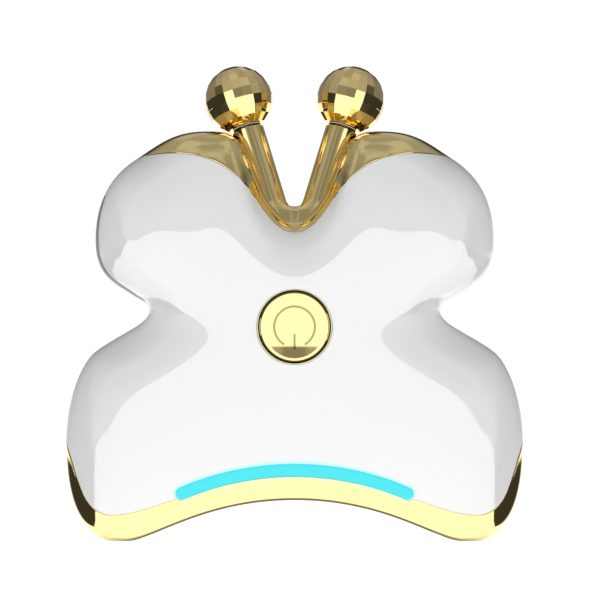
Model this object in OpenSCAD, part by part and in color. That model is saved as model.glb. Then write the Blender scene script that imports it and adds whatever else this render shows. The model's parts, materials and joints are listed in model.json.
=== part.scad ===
// Hand-held facial toning device: a butterfly-shaped body with a gold top trim and bottom band,
// a round push button, a light strip, and two faceted rollers that spin on a V-shaped fork.
// It stands on its bottom band: +Z is up, the button faces -Y, and the parting plane is y = 0.

/* [Body outline] */
// Width across the lower wings
lower_w = 100.2; // [94:0.2:112]
// Height of the widest point of the lower wings
lower_z = 20.5; // [18:0.5:24]
// Width across the upper wings
upper_w = 87.2; // [82:0.2:98]
// Height of the widest point of the upper wings
upper_z = 65.7; // [63:0.1:68]
// Width of the waist
waist_w = 63.6; // [60:0.2:70]
// Height of the waist
waist_z = 50.2; // [48:0.1:52]
// Height of the two crests
crest_z = 89.4; // [87:0.1:93]
// Sideways distance of each crest from the middle
crest_x = 19; // [18:0.1:21]
// Height of the bottom of the notch between the crests
notch_z = 69.4; // [68:0.1:71]
// Height of the arch between the two feet
arch_z = 8.9; // [7:0.1:10]
// Sideways distance of each foot from the middle
foot_x = 38.4; // [36:0.1:41]
// Width of the flat under each foot
foot_flat = 3.4; // [2:0.1:5]

/* [Body depth] */
// Depth of the front shell at the button
front_depth = 16.2; // [15.8:0.1:18]
// Depth of the rear shell at its middle
rear_depth = 16.55; // [15.8:0.05:18]
// Depth lost by the rear shell at its rim, against the front one
rear_step = 0.8; // [0.5:0.1:1.5]
// Wall of both shells
shell_wall = 2; // [1.6:0.1:2.4]
// Thickness of the gold top trim and bottom band
trim_t = 0.8; // [0.6:0.05:1]
// Thickness of the side seals
seal_t = 0.5; // [0.4:0.05:0.7]
// Width of the left side's grip strip that shows from the front
grip_show = 0.9; // [0.4:0.1:1.2]

/* [Button] */
// Height of the button's centre
button_z = 46.7; // [45.5:0.1:48]
// Diameter of the button's disc
button_d = 14.8; // [13:0.1:16]
// Travel of the button
button_travel = 0.5; // [0.3:0.05:0.6]
// Depth of the dish in the button's face
dish_depth = 0.9; // [0.5:0.1:1.2]
// Wall of the bezel round the button
bezel_wall = 0.45; // [0.4:0.05:0.7]
// Diameter of the button's stem
button_stem_d = 4; // [3:0.1:4.6]
// Radius of the engraved ring
symbol_r = 4.6; // [3.5:0.1:5]
// Width and depth of the engraved lines
symbol_line = 0.5; // [0.3:0.05:0.7]

/* [Rollers] */
// Diameter of each faceted roller
ball_d = 15; // [14:0.1:16]
// Sideways distance of each roller's centre from the middle
ball_x = 12.3; // [11.8:0.1:14]
// Rise of the rollers' centres over the crests
ball_rise = 7.05; // [6.4:0.05:12]
// Lean of each stem from upright
stem_lean = 16.7; // [15:0.1:18]
// Lean of the whole fork towards the rear
fork_back = 12; // [8:0.5:14]
// Diameter of the stems
stem_d = 7; // [6:0.1:7.4]
// Height of the web between the stems
web_z = 72.6; // [71:0.1:74]
// Facets round each roller
facet_columns = 22; // [16:1:26]
// Rows of facets from the roller's pole to its flat
facet_rows = 9; // [7:1:11]
// Diameter of the axles
axle_d = 3; // [2.5:0.1:3.4]
// Outer diameter of the roller bushes
bush_d = 6; // [5:0.1:6.4]

/* [Light strip] */
// Width of the light strip
light_w = 2.7; // [2:0.1:3.2]
// Radius of the light strip's arc
light_r = 61.8; // [58:0.1:66]
// Height of the top of the light strip's centre line
light_z = 15.55; // [15:0.05:16.5]
// Half of the angle that the light strip spans
light_half_angle = 23.4; // [18:0.1:24]

/* [Inside] */
// Thickness of the chassis plate
chassis_t = 2; // [1.6:0.1:2.6]
// Half of the chassis plate's width
chassis_half_w = 20; // [19.5:0.1:22]
// Thickness of the circuit boards
board_t = 1.2; // [0.8:0.1:1.6]
// Height of the posts under the main board
board_post_h = 4; // [3.8:0.1:4.6]
// Width of the battery
battery_w = 34; // [28:0.5:36]
// Height of the battery
battery_l = 26; // [20:0.5:27]
// Thickness of the battery
battery_t = 6.5; // [4:0.1:7]
// Diameter of the vibration motor
motor_d = 6; // [5:0.1:6.4]
// Length of the vibration motor's can
motor_l = 12; // [9:0.1:14]
// Radius of the motor's eccentric weight
weight_r = 2.5; // [2:0.1:2.8]
// Diameter of the screw bosses on the shells
boss_d = 6.4; // [5.6:0.1:7]
// Diameter of the shell screws' shanks
screw_d = 2.4; // [2:0.1:2.6]
// Diameter of the shell screws' heads
screw_head_d = 4.6; // [4:0.1:5]

/* [Clearances] */
// Gap between fixed pieces that lie in each other
fit_gap = 0.05; // [0.03:0.01:0.1]
// Radial clearance of an axle, shaft or stem in its bore
running_gap = 0.05; // [0.02:0.01:0.08]
// Gap between pieces that move past each other
move_gap = 0.3; // [0.25:0.05:0.4]

/* [Hidden] */
$fn = 48;
FRONT = -1;
REAR = 1;
ball_z = crest_z + ball_rise;
// Height of the rollers' centres in the fork's own leaning plane, which turns about the web's top
ball_up = web_z + (ball_z - web_z) / cos(fork_back);

// ---- Outline: half of it, clockwise from the notch to the arch, as Bezier segments ----

// Main anchors, each with the direction in which the outline passes it
ANCHORS = [[0, notch_z], [crest_x, crest_z], [upper_w / 2, upper_z], [waist_w / 2, waist_z],
  [lower_w / 2, lower_z], [foot_x + foot_flat / 2, 0], [foot_x - foot_flat / 2, 0], [0, arch_z]];
HEADINGS = [0, 0, -90, -90, -90, 180, 180, 180];
// Turning point between two anchors: its share of the way across and up, the heading there, and
// the handles before and after it as shares of the distances
TURNS = [[0.37, 0.35, 70, 0.33, 0.05, 0.78, 0.30], [0.65, 0.265, -33.5, 0.43, 0.41, 0.38, 0.37],
  [0.67, 0.77, -146, 0.56, 0.30, 0.38, 0.35], [0.64, 0.30, -36, 0.20, 0.47, 0.16, 0.51]];

function heading(angle) = [cos(angle), sin(angle)];
function bezier(c, u) = pow(1 - u, 3) * c[0] + 3 * pow(1 - u, 2) * u * c[1]
  + 3 * (1 - u) * u * u * c[2] + pow(u, 3) * c[3];
function bezier_slope(c, u) = pow(1 - u, 2) * (c[1] - c[0]) + 2 * (1 - u) * u * (c[2] - c[1])
  + u * u * (c[3] - c[2]);
function arc_between(a, angle_a, handle_a, b, angle_b, handle_b) =
  [a, a + handle_a * norm(b - a) * heading(angle_a), b - handle_b * norm(b - a) * heading(angle_b), b];
function turn_point(i) = [for (k = [0, 1]) ANCHORS[i][k] + (ANCHORS[i + 1][k] - ANCHORS[i][k]) * TURNS[i][k]];
function turned(i) =
  [arc_between(ANCHORS[i], HEADINGS[i], TURNS[i][3], turn_point(i), TURNS[i][2], TURNS[i][4]),
   arc_between(turn_point(i), TURNS[i][2], TURNS[i][5], ANCHORS[i + 1], HEADINGS[i + 1], TURNS[i][6])];
SEGMENTS = concat([for (i = [0:3]) each turned(i)],
  [arc_between(ANCHORS[4], -90, 0.86, ANCHORS[5], 180, 0.04),
   arc_between(ANCHORS[5], 180, 0.33, ANCHORS[6], 180, 0.33),
   arc_between(ANCHORS[6], 180, 0.15, ANCHORS[7], 180, 0.53)]);
LAST = len(SEGMENTS);

// A place on the outline is a station: 0 notch, 1 its slope, 2 crest, 3 shoulder, 4 upper wing,
// 5 under it, 6 waist, 7 over the lower wing, 8 lower wing, 9 and 10 the foot's flat, 11 arch
function piece_of(t) = min(floor(t), LAST - 1);
function rim(t) = bezier(SEGMENTS[piece_of(t)], t - piece_of(t));
function rim_heading(t) = let (s = bezier_slope(SEGMENTS[piece_of(t)], t - piece_of(t))) s / norm(s);
function inward(t) = let (h = rim_heading(t)) [h[1], -h[0]];

rib_step = 3.4;
function piece_length(k) = let (n = 8)
  [for (i = 0, s = 0; i <= n; s = s + (i < n ? norm(bezier(SEGMENTS[k], (i + 1) / n)
    - bezier(SEGMENTS[k], i / n)) : 0), i = i + 1) s][n];
function piece_ribs(k) = max(2, round(piece_length(k) / rib_step));
EVEN_STATIONS = [for (k = [0:LAST - 1]) let (n = piece_ribs(k)) each [for (i = [0:n - 1]) k + i / n], LAST];
RIB_COUNT = len(EVEN_STATIONS);
// The ribs nearest to the gold trims' pointed ends are moved onto them
function nearest(t) = let (gaps = [for (s = EVEN_STATIONS) abs(s - t)], least = min(gaps))
  [for (i = [0:RIB_COUNT - 1]) if (gaps[i] == least) i][0];
top_tip_t = 2.97;
bottom_tip_t = 7.96;
top_tip = nearest(top_tip_t);
bottom_tip = nearest(bottom_tip_t);
STATIONS = [for (i = [0:RIB_COUNT - 1]) i == top_tip ? top_tip_t : i == bottom_tip ? bottom_tip_t : EVEN_STATIONS[i]];
RUN = [for (i = 0, s = 0; i < RIB_COUNT; s = s + (i + 1 < RIB_COUNT ?
  norm(rim(STATIONS[i + 1]) - rim(STATIONS[i])) : 0), i = i + 1) [STATIONS[i], s]];
RUN_TOTAL = RUN[RIB_COUNT - 1][1];

// ---- Body surface: ribs run from the outline to the button's hole ----

hole_r = button_d / 2 + move_gap + bezel_wall + fit_gap;
// Per station: reach of the edge rounding, half height of the rim, depth of the face at the rim,
// first handle of the rib, and depth of the stem trough
REACH = [9, 9, 9, 11, 14, 11, 10, 13, 13, 1.6, 1.3, 1.3];
RIM_HALF = [7.5, 7.5, 4, 1, 0.8, 0.8, 0.8, 0.8, 1.5, 10, 10.7, 10.7];
FACE = [12.3, 12.3, 11.8, 11.5, 12, 11.6, 11.2, 12, 13, 12, 12, 12];
HANDLE = [7, 6, 9, 11, 12, 8, 5, 9, 10, 5, 5, 9];
TROUGH = [3.2, 3.2, 0, 0, 0, 0, 0, 0, 0, 0, 0, 0];
rib_spread = 0.5;
round_power = 2.6;
trough_share = 0.87;
least_rim = 0.1;
// The stem trough follows the fork as it leans back
function trough_y(z) = (z - web_z) * tan(fork_back);

function smooth(u) = u * u * (3 - 2 * u);
function at(table, t) = let (k = piece_of(t)) table[k] + (table[k + 1] - table[k]) * smooth(t - k);
function rib(t) =
  let (p = rim(t), v = p - [0, button_z],
    phi = (1 - rib_spread) * atan2(v[0], v[1]) + rib_spread * 180 * lookup(t, RUN) / RUN_TOTAL,
    out = [sin(phi), cos(phi)], q = [0, button_z] + hole_r * out,
    curve = [p, p + at(HANDLE, t) * inward(t), q + 0.33 * norm(p - q) * out, q],
    n = 24, dots = [for (i = [0:n]) bezier(curve, i / n)],
    run = [for (i = 0, s = 0; i <= n; s = s + (i < n ? norm(dots[i + 1] - dots[i]) : 0), i = i + 1) [s, i / n]])
  [t, curve, run, run[n][0]];
RIBS = [for (t = STATIONS) rib(t)];
function reach(r) = r[3];
function along(r, d) = bezier(r[1], lookup(d, r[2]));
function side_depth(side) = side == FRONT ? front_depth : rear_depth;
function face_depth(side, t) = at(FACE, t) - (side == FRONT ? 0 : rear_step);
function rounding(v) = v >= 1 ? 0 : 1 - sqrt(1 - pow(1 - v, round_power));
// Depth of the skin from the parting plane, d along a rib from the outline
function depth(side, r, d) = let (t = r[0], far = 1 - d / reach(r), f = face_depth(side, t))
  side_depth(side) + (f - side_depth(side)) * far * far
  - (f - at(RIM_HALF, t)) * rounding(d / at(REACH, t));
// A point on the rim, share 0 at the parting plane and 1 at the rim's edge, moved in by inset
function rim_point(side, r, share, inset) =
  let (t = r[0], w = at(RIM_HALF, t), y = share * max(w - inset, least_rim), yt = trough_share * w,
    off = side * y - trough_y(rim(t)[1]),
    dip = at(TROUGH, t) * (1 - pow(share, 4)) * pow(max(0, 1 - pow(off / yt, 2)), 2),
    q = rim(t) + (inset + dip) * inward(t))
  [q[0], side * y, q[1]];
// A point on the face, d along the rib from the outline, moved in by inset
function face_point(side, r, d, inset) =
  let (q = along(r, d + inset * (1 - d / reach(r))))
  [q[0], side * max(depth(side, r, d) - inset, least_rim), q[1]];

// ---- Seams: where the gold trims end on the face ----

tip_top = rim(top_tip_t);
tip_bottom = rim(bottom_tip_t);
light_centre_z = light_z - light_r;
light_end = [light_r * sin(light_half_angle), light_centre_z + light_r * cos(light_half_angle)];
seam_r = light_r - light_w / 2;
// The top seam's lowest point, its point beside the stem, and its point under the crest
notch_gold = 2.1;
crest_gold = 4.9;
SADDLE = [0, notch_z - notch_gold];
BESIDE_STEM = [ball_x * 0.7, SADDLE[1] + (crest_z - notch_z) * 0.37];
UNDER_CREST = [crest_x + (tip_top[0] - crest_x) * 0.42, crest_z - crest_gold];
TOP_SEAM = [arc_between(SADDLE, 0, 0.35, BESIDE_STEM, 57, 0.3),
  arc_between(BESIDE_STEM, 57, 0.35, UNDER_CREST, 2, 0.4),
  arc_between(UNDER_CREST, 2, 0.3, tip_top, -18, 0.3)];
// The bottom seam leaves the light strip's end, dips over the foot and climbs to the tip
foot_gold = 5.75;
LIGHT_CORNER = light_end + light_w * [0.22, -0.4];
OVER_FOOT = [foot_x + foot_flat * 0.4, foot_gold];
AT_CORNER = [OVER_FOOT[0] + (tip_bottom[0] - OVER_FOOT[0]) * 0.6, foot_gold + (tip_bottom[1] - foot_gold) * 0.27];
BOTTOM_SEAM = [arc_between(LIGHT_CORNER, -15, 0.3, OVER_FOOT, 0, 0.35),
  arc_between(OVER_FOOT, 0, 0.4, AT_CORNER, 64, 0.3),
  arc_between(AT_CORNER, 64, 0.3, tip_bottom, 68, 0.3)];
function seam_table(curves) = [for (c = curves) each [for (i = [0:11]) bezier(c, i / 12)], curves[len(curves) - 1][3]];
TOP_TABLE = seam_table(TOP_SEAM);
BOTTOM_TABLE = seam_table(BOTTOM_SEAM);
function top_seam(x) = lookup(x, TOP_TABLE);
function bottom_seam(x) = x < BOTTOM_TABLE[0][0] ?
  light_centre_z + sqrt(seam_r * seam_r - x * x) : lookup(x, BOTTOM_TABLE);
// Signed height over the seam: negative on the gold side
function off_top(q) = top_seam(q[0]) - q[1];
function off_bottom(q) = q[1] - bottom_seam(q[0]);
function off_seam(top, q) = top ? off_top(q) : off_bottom(q);
function find_seam(r, top, low, high, n) = let (mid = (low + high) / 2)
  n == 0 ? mid : off_seam(top, along(r, mid)) < 0 ? find_seam(r, top, mid, high, n - 1)
    : find_seam(r, top, low, mid, n - 1);
seam_search = 14;
least_seam = 0.03;
// The grip strip on the left: stations of its two ends, and its width there as a share
grip_from = 3.5;
grip_to = 5.6;
grip_taper = 0.5;
grip_round = 0.25;
function grip_width(t) = t <= grip_from || t >= grip_to ? least_seam
  : let (u = (t - grip_from) / (grip_to - grip_from))
    least_seam + (grip_show * (1 - grip_taper * u) - least_seam) * pow(sin(180 * u), grip_round);
SEAM = [for (i = [0:RIB_COUNT - 1]) let (r = RIBS[i])
  i < top_tip ? max(least_seam, find_seam(r, true, 0, seam_search, 16))
  : i > bottom_tip ? max(least_seam, find_seam(r, false, 0, seam_search, 16)) : least_seam];
// Distance of the seam along a rib; the hand is 1 on the right and -1 on the left
function seam(i, hand) = hand < 0 && i > top_tip && i < bottom_tip ? grip_width(STATIONS[i]) : SEAM[i];
function ledge(i) = (i <= top_tip || i >= bottom_tip ? trim_t : seal_t) + fit_gap;

// ---- Skins: rings of points joined into closed surfaces ----

rim_rows = 4;
seam_rows = 5;
face_rows = 9;
inner_rows = 6;
LOOP = concat([for (i = [0:RIB_COUNT - 1]) [i, 1]], [for (i = [RIB_COUNT - 2:-1:1]) [i, -1]]);
function mirrored(p, hand) = [hand * p[0], p[1], p[2]];
// A point between the rim and the seam, share 1 at the seam, where it moves in along the normal
function edge_point(side, r, g, share, inset) =
  let (d = g * pow(share, 1.7), slope = (depth(side, r, g + 0.1) - depth(side, r, g)) / 0.1,
    unit = sqrt(1 + slope * slope), late = share * share, across = 1 - late + late * slope / unit,
    deep = 1 - late + late / unit, q = along(r, d + inset * across))
  [q[0], side * max(depth(side, r, d) - inset * deep, least_rim), q[1]];
function outside(side, i, hand, inset, short = 0) = let (r = RIBS[i], g = seam(i, hand) - short)
  concat([for (j = [0:rim_rows]) rim_point(side, r, j / rim_rows, inset)],
    [for (j = [1:seam_rows]) edge_point(side, r, g, j / seam_rows, inset)]);
function shell_profile(side, i, hand) =
  let (r = RIBS[i], g = seam(i, hand), whole = reach(r), deep = shell_wall + trim_t + fit_gap)
  concat(outside(side, i, hand, ledge(i)),
    [for (j = [0:face_rows]) face_point(side, r, g + (whole - g) * pow(j / face_rows, 1.6), 0)],
    [for (j = [inner_rows:-1:1]) let (d = whole * pow(j / inner_rows, 1.6))
      face_point(side, r, d, shell_wall + (deep - shell_wall) * (1 - d / whole))],
    [rim_point(side, r, 1, deep), rim_point(side, r, 0, deep)]);
function quad(a, b, c, d, flip) = flip ? [[a, c, b], [a, d, c]] : [[a, b, c], [a, c, d]];
// Triangles of a grid of profiles; rows and columns wrap where asked. Turned grids split each cell
// along its other diagonal, so that the ledge and the strip lying on it are split alike
function grid(columns, rows, wrap_columns, wrap_rows, flip, turned = false) =
  [for (i = [0:columns - (wrap_columns ? 1 : 2)]) for (j = [0:rows - (wrap_rows ? 1 : 2)])
    let (a = i * rows + j, b = i * rows + (j + 1) % rows,
      c = (i + 1) % columns * rows + (j + 1) % rows, d = (i + 1) % columns * rows + j)
    each turned ? quad(b, c, d, a, flip) : quad(a, b, c, d, flip)];
module skin(side) {
  profiles = [for (k = LOOP) [for (p = shell_profile(side, k[0], k[1])) mirrored(p, k[1])]];
  rows = len(profiles[0]);
  columns = len(profiles);
  mouth = rim_rows + seam_rows + face_rows + 1;
  open = side == FRONT;
  faces = grid(columns, rows, true, true, open, !open);
  // The rear skin has no button hole: fans close it outside and inside, in place of the hole's wall
  centre = columns * rows;
  kept = [for (i = [0:columns - 1]) for (j = [0:rows - 1]) if (j != mouth)
    each [faces[2 * (i * rows + j)], faces[2 * (i * rows + j) + 1]]];
  fans = [for (i = [0:columns - 1]) let (a = i * rows + mouth, b = (i + 1) % columns * rows + mouth)
    each [[a, centre, b], [a + 1, b + 1, centre + 1]]];
  middle = [[0, side_depth(side), button_z], [0, side_depth(side) - shell_wall, button_z]];
  polyhedron(concat([for (p = profiles) each p], open ? [] : middle), open ? faces : concat(kept, fans),
    convexity = 8);
}
// A strip that wraps the rim from the front seam to the rear one, along the ribs in way
function strip_profile(i, hand, thick) =
  let (n = rim_rows + seam_rows, short = min(seam_gap, seam(i, hand) / 3),
    front = outside(FRONT, i, hand, 0, short), rear = outside(REAR, i, hand, 0, short),
    front_in = outside(FRONT, i, hand, thick, short), rear_in = outside(REAR, i, hand, thick, short))
  concat([for (k = [n:-1:0]) front[k]], [for (k = [1:n]) rear[k]],
    [for (k = [n:-1:0]) rear_in[k]], [for (k = [1:n]) front_in[k]]);
module strip(way, thick) {
  profiles = [for (k = way) [for (p = strip_profile(k[0], k[1], thick)) mirrored(p, k[1])]];
  rows = len(profiles[0]);
  half = rows / 2;
  last = (len(way) - 1) * rows;
  caps = [for (j = [0:half - 2]) each concat(quad(j, j + 1, rows - 2 - j, rows - 1 - j, true),
    quad(last + j, last + j + 1, last + rows - 2 - j, last + rows - 1 - j, false))];
  polyhedron([for (p = profiles) each p], concat(grid(len(way), rows, false, true, false), caps), convexity = 8);
}

// ---- Where things stand: depths are counted from the parting plane, + to the front ----

// A place [x, z, front depth, rear depth] over a rib, d from the outline
function spot(t, d) = let (r = rib(t), q = along(r, d)) [q[0], q[1], depth(FRONT, r, d), depth(REAR, r, d)];
chassis_face = chassis_t / 2;
wall_middle = shell_wall * 0.55;
seam_gap = 0.08;

// Shell screws
SCREW_SPOTS = [spot(3.6, 17), spot(7.7, 17)];
head_seat = 5;
head_t = 1.7;
screw_reach = 8;
screw_r = screw_d / 2;
plug_sink = 0.4;

// Button and switch
bezel_r = hole_r - fit_gap;
bezel_bore = button_d / 2 + move_gap;
bezel_proud = 0.35;
button_proud = 0.3;
disc_t = 2.4;
stem_r = button_stem_d / 2;
disc_back = front_depth + button_proud - disc_t;
floor_front = disc_back - button_travel - move_gap;
floor_t = 2;
floor_back = floor_front - floor_t;
clip_gap = 0.1;
clip_t = 0.5;
groove = 0.3;
clip_front = floor_back - clip_gap;
flange_w = 1.2;
flange_t = 0.8;
skirt_wall = 1.2;
board_back = chassis_face + board_post_h;
board_front = board_back + board_t;
switch_w = 6;
// The switch stands as high as the pressed button's clip leaves it room
switch_front = clip_front - clip_t - button_travel - 0.6;
plunger_r = 1.5;
plunger_show = 0.9;
plunger_grip = 1.2;
plunger_front = switch_front + plunger_show;
plunger_back = switch_front - plunger_grip;

// Main board
board_half_w = chassis_half_w;
board_low = button_z - 15;
board_high = button_z + 12;
post_r = 2;
small_screw_r = 0.8;
small_head_r = 1.5;
small_head_t = 1;
BOARD_POSTS = [for (x = [-1, 1]) for (z = [board_low + 3, board_high - 3]) [x * (board_half_w - 3), z]];

// Light strip
light_board_back = 7.2;
light_board_front = light_board_back + 1;
light_board_w = 5.6;
chip_t = 0.7;
chip_w = 2;
chip_count = 5;
guide_back = light_board_front + chip_t + 0.2;
slot_gap = seam_gap + 0.07;
light_post_angle = 14;
light_post_r = 1.6;
LIGHT_POSTS = [for (s = [-1, 1]) [s * (light_r + 1.6) * sin(light_post_angle),
  light_centre_z + (light_r + 1.6) * cos(light_post_angle)]];

// Battery, motor and charging port
chassis_low = arch_z + trim_t + shell_wall + 0.9;
chassis_high = button_z + 13.3;
tape_t = 0.4;
port = spot(LAST, 12);
port_z = port[1];
port_post_h = 4;
port_board_half_w = 9;
port_board_half_h = 6.2;
port_board_near = chassis_face + port_post_h;
port_board_far = port_board_near + board_t;
port_w = 9;
port_h = 3.2;
port_wall = 0.3;
port_sink = 0.7;
PORT_POSTS = [for (s = [-1, 1]) [s * 6.6, port_z]];
battery_low = port_z + port_board_half_h + 1;
boot_wall = 1;
motor_y = -(chassis_face + boot_wall + motor_d / 2);
light_board_top = light_z + light_board_w / 2;
motor_z = (light_board_top + board_low) / 2;
motor_x = -motor_l / 2 - 1;
boot_l = 7;
shaft_r = 0.5;
weight_l = 3.5;

// Roller fork, in the frame of a stem: 0 is the roller's centre and + points out along the axle
ball_r = ball_d / 2;
flat_r = stem_d / 2 + 0.6;
flat_w = sqrt(ball_r * ball_r - flat_r * flat_r);
washer_t = 0.5;
washer_gap = 0.2;
washer_top = -flat_w - washer_gap;
stem_top = washer_top - washer_t;
axle_r = axle_d / 2;
bush_r = bush_d / 2;
axle_depth = 9;
axle_top = 1;
bush_top = -0.6;
ring_low = bush_top + 0.25;
ring_t = 0.5;
ring_r = 2.5;
axle_groove = 0.35;
pocket_top = 2.4;
fork_low = button_z + 4.3;
stem_low = fork_low + 10;
fork_plate_t = 2.4;
fork_plate_half_w = 9;
fork_plate_high = stem_low + 4;
web_half_t = 3;
fork_bore_r = small_screw_r + 0.1 + fit_gap;
FORK_SCREWS = [for (s = [-1, 1]) [s * 5, fork_low + 3.2]];
// The opening in the saddle takes the stems' width where they pass it
opening_high = notch_z + 9;
opening_half_w = ball_x - (ball_up - notch_z - 5) * tan(stem_lean) + stem_d / 2 / cos(stem_lean);
opening_half_t = stem_d / 2 + 0.7;

// ---- Building blocks ----

// A rod along Y at [x, z], between two depths to the front
module rod(at, back, front, r) {
  translate([at[0], -back, at[1]]) rotate([90, 0, 0]) cylinder(h = front - back, r = r);
}
// A flat piece in the XZ plane, between two depths to the front
module plate(back, front) {
  translate([0, -back, 0]) rotate([90, 0, 0]) linear_extrude(front - back) children();
}
module box(x0, x1, back, front, z0, z1) {
  translate([x0, -front, z0]) cube([x1 - x0, front - back, z1 - z0]);
}
module both_sides() {
  children();
  mirror([1, 0, 0]) children();
}
module arm(from, to, w) {
  translate(from) rotate(atan2(to[1] - from[1], to[0] - from[0])) translate([0, -w / 2]) square([norm(to - from), w]);
  translate(to) circle(d = w);
}
module stadium(w, h) {
  square([w - h, h], center = true);
  for (s = [-1, 1]) translate([s * (w - h) / 2, 0]) circle(d = h);
}
// A ring segment round the centre of the light strip, swept from a profile of [radius, depth]
module light_sweep(half_angle) {
  translate([0, 0, light_centre_z]) rotate([90, 0, 0]) rotate([0, 0, 90 - half_angle])
    rotate_extrude(angle = 2 * half_angle, $fn = 360) children();
}
module on_fork() {
  translate([0, 0, web_z]) rotate([-fork_back, 0, 0]) translate([0, 0, -web_z]) children();
}
module on_stem(hand) {
  on_fork() translate([hand * ball_x, 0, ball_up]) rotate([0, hand * stem_lean, 0]) children();
}
module from_to(low, high, r) {
  translate([0, 0, low]) cylinder(h = high - low, r = r);
}

// ---- Casing ----

module saddle_opening(grow) {
  on_fork() box(-opening_half_w - grow, opening_half_w + grow, -opening_half_t - grow, opening_half_t + grow,
    stem_low - 2, opening_high);
}
module light_slot(grow) {
  light_sweep(light_half_angle) translate([seam_r - grow, guide_back - 4]) square([light_w + 2 * grow, 12]);
  both_sides() rod(light_end, guide_back - 4, guide_back + 8, light_w / 2 + grow);
}
module front_shell() {
  color("white") difference() {
    union() {
      skin(FRONT);
      both_sides() for (s = SCREW_SPOTS) rod(s, chassis_face, s[2] - wall_middle, boss_d / 2);
    }
    both_sides() for (s = SCREW_SPOTS) rod(s, chassis_face - 1, screw_reach + 0.5, screw_r + fit_gap);
    light_slot(slot_gap);
    saddle_opening(fit_gap);
  }
}
module rear_shell() {
  color("white") difference() {
    union() {
      skin(REAR);
      both_sides() for (s = SCREW_SPOTS) rod(s, -s[3] + wall_middle, -chassis_face, boss_d / 2);
    }
    both_sides() for (s = SCREW_SPOTS) {
      rod(s, -s[3] - 3, -head_seat, screw_head_d / 2 + fit_gap);
      rod(s, -head_seat - 1, -chassis_face + 1, screw_r + fit_gap);
    }
    translate([0, port_board_far, port_z]) rotate([-90, 0, 0]) linear_extrude(rear_depth)
      stadium(port_w + 2 * fit_gap, port_h + 2 * fit_gap);
    saddle_opening(fit_gap);
  }
}
module side_seal_left() {
  color("gray") strip([for (i = [bottom_tip:-1:top_tip]) [i, -1]], seal_t);
}
module side_seal_right() {
  color("gray") strip([for (i = [top_tip:bottom_tip]) [i, 1]], seal_t);
}
module top_trim() {
  color("gold") difference() {
    strip([for (i = [top_tip:-1:1]) [i, -1], for (i = [0:top_tip]) [i, 1]], trim_t);
    saddle_opening(0);
  }
}
module bottom_band() {
  color("gold") strip([for (i = [bottom_tip:RIB_COUNT - 1]) [i, 1],
    for (i = [RIB_COUNT - 2:-1:bottom_tip]) [i, -1]], trim_t);
}

// ---- Light strip ----

module light_guide() {
  low = depth(FRONT, RIBS[RIB_COUNT - 1], SEAM[RIB_COUNT - 1]);
  high = depth(FRONT, RIBS[RIB_COUNT - 1], SEAM[RIB_COUNT - 1] + light_w);
  color("cyan") {
    light_sweep(light_half_angle)
      polygon([[seam_r, guide_back], [seam_r + light_w, guide_back], [seam_r + light_w, high], [seam_r, low]]);
    both_sides() rod(light_end, guide_back, low, light_w / 2);
  }
}
module led_board() {
  color("darkgreen")
    light_sweep(light_half_angle - 1) translate([light_r - light_board_w / 2, light_board_back])
      square([light_board_w, light_board_front - light_board_back]);
}
module led_chips() {
  color("lightyellow") for (i = [0:chip_count - 1])
    translate([0, 0, light_centre_z]) rotate([0, (i / (chip_count - 1) * 2 - 1) * (light_half_angle - 4), 0])
      translate([-chip_w / 2, -light_board_front - chip_t, light_r - chip_w / 2]) cube([chip_w, chip_t, chip_w]);
}

// ---- Button and switch ----

module button_bezel() {
  at = [0, button_z];
  color("gold") difference() {
    union() {
      rod(at, board_front, front_depth + bezel_proud, bezel_r);
      rod(at, front_depth - shell_wall - fit_gap * 2 - flange_t, front_depth - shell_wall - fit_gap * 2,
        bezel_r + flange_w);
    }
    rod(at, floor_front, front_depth + 2, bezel_bore);
    rod(at, board_front - 1, floor_back, bezel_r - skirt_wall);
    rod(at, floor_back - 1, floor_front + 1, stem_r + running_gap);
  }
}
module power_button() {
  at = [0, button_z];
  face = front_depth + button_proud;
  lip = 0.5;
  dish_r = button_d / 2 - lip;
  ball = (dish_r * dish_r + dish_depth * dish_depth) / 2 / dish_depth;
  color("gold") difference() {
    union() {
      rod(at, disc_back, face, button_d / 2);
      rod(at, plunger_front, disc_back, stem_r);
    }
    translate([0, -face - ball + dish_depth, button_z]) sphere(r = ball, $fn = 128);
    translate([0, -face + dish_depth + symbol_line, button_z]) rotate([90, 0, 0]) rotate([0, 0, -60])
      rotate_extrude(angle = 300) translate([symbol_r - symbol_line / 2, 0]) square([symbol_line, 3]);
    box(-symbol_line / 2, symbol_line / 2, face - dish_depth - symbol_line, face + 1,
      button_z - symbol_r - symbol_line / 2, button_z - 1.6);
    difference() {
      rod(at, clip_front - clip_t - 0.05, clip_front + 0.05, stem_r + 1);
      rod(at, clip_front - clip_t - 1, clip_front + 1, stem_r - groove);
    }
  }
}
module button_clip() {
  at = [0, button_z];
  color("silver") difference() {
    rod(at, clip_front - clip_t, clip_front, stem_r + 1.2);
    rod(at, clip_front - clip_t - 1, clip_front + 1, stem_r - groove + fit_gap);
  }
}
module switch_body() {
  color("dimgray") difference() {
    box(-switch_w / 2, switch_w / 2, board_front, switch_front, button_z - switch_w / 2, button_z + switch_w / 2);
    rod([0, button_z], plunger_back - button_travel - 0.2, switch_front + 1, plunger_r + running_gap);
  }
}
module switch_plunger() {
  color("black") rod([0, button_z], plunger_back, plunger_front, plunger_r);
}

// ---- Boards and chassis ----

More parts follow.
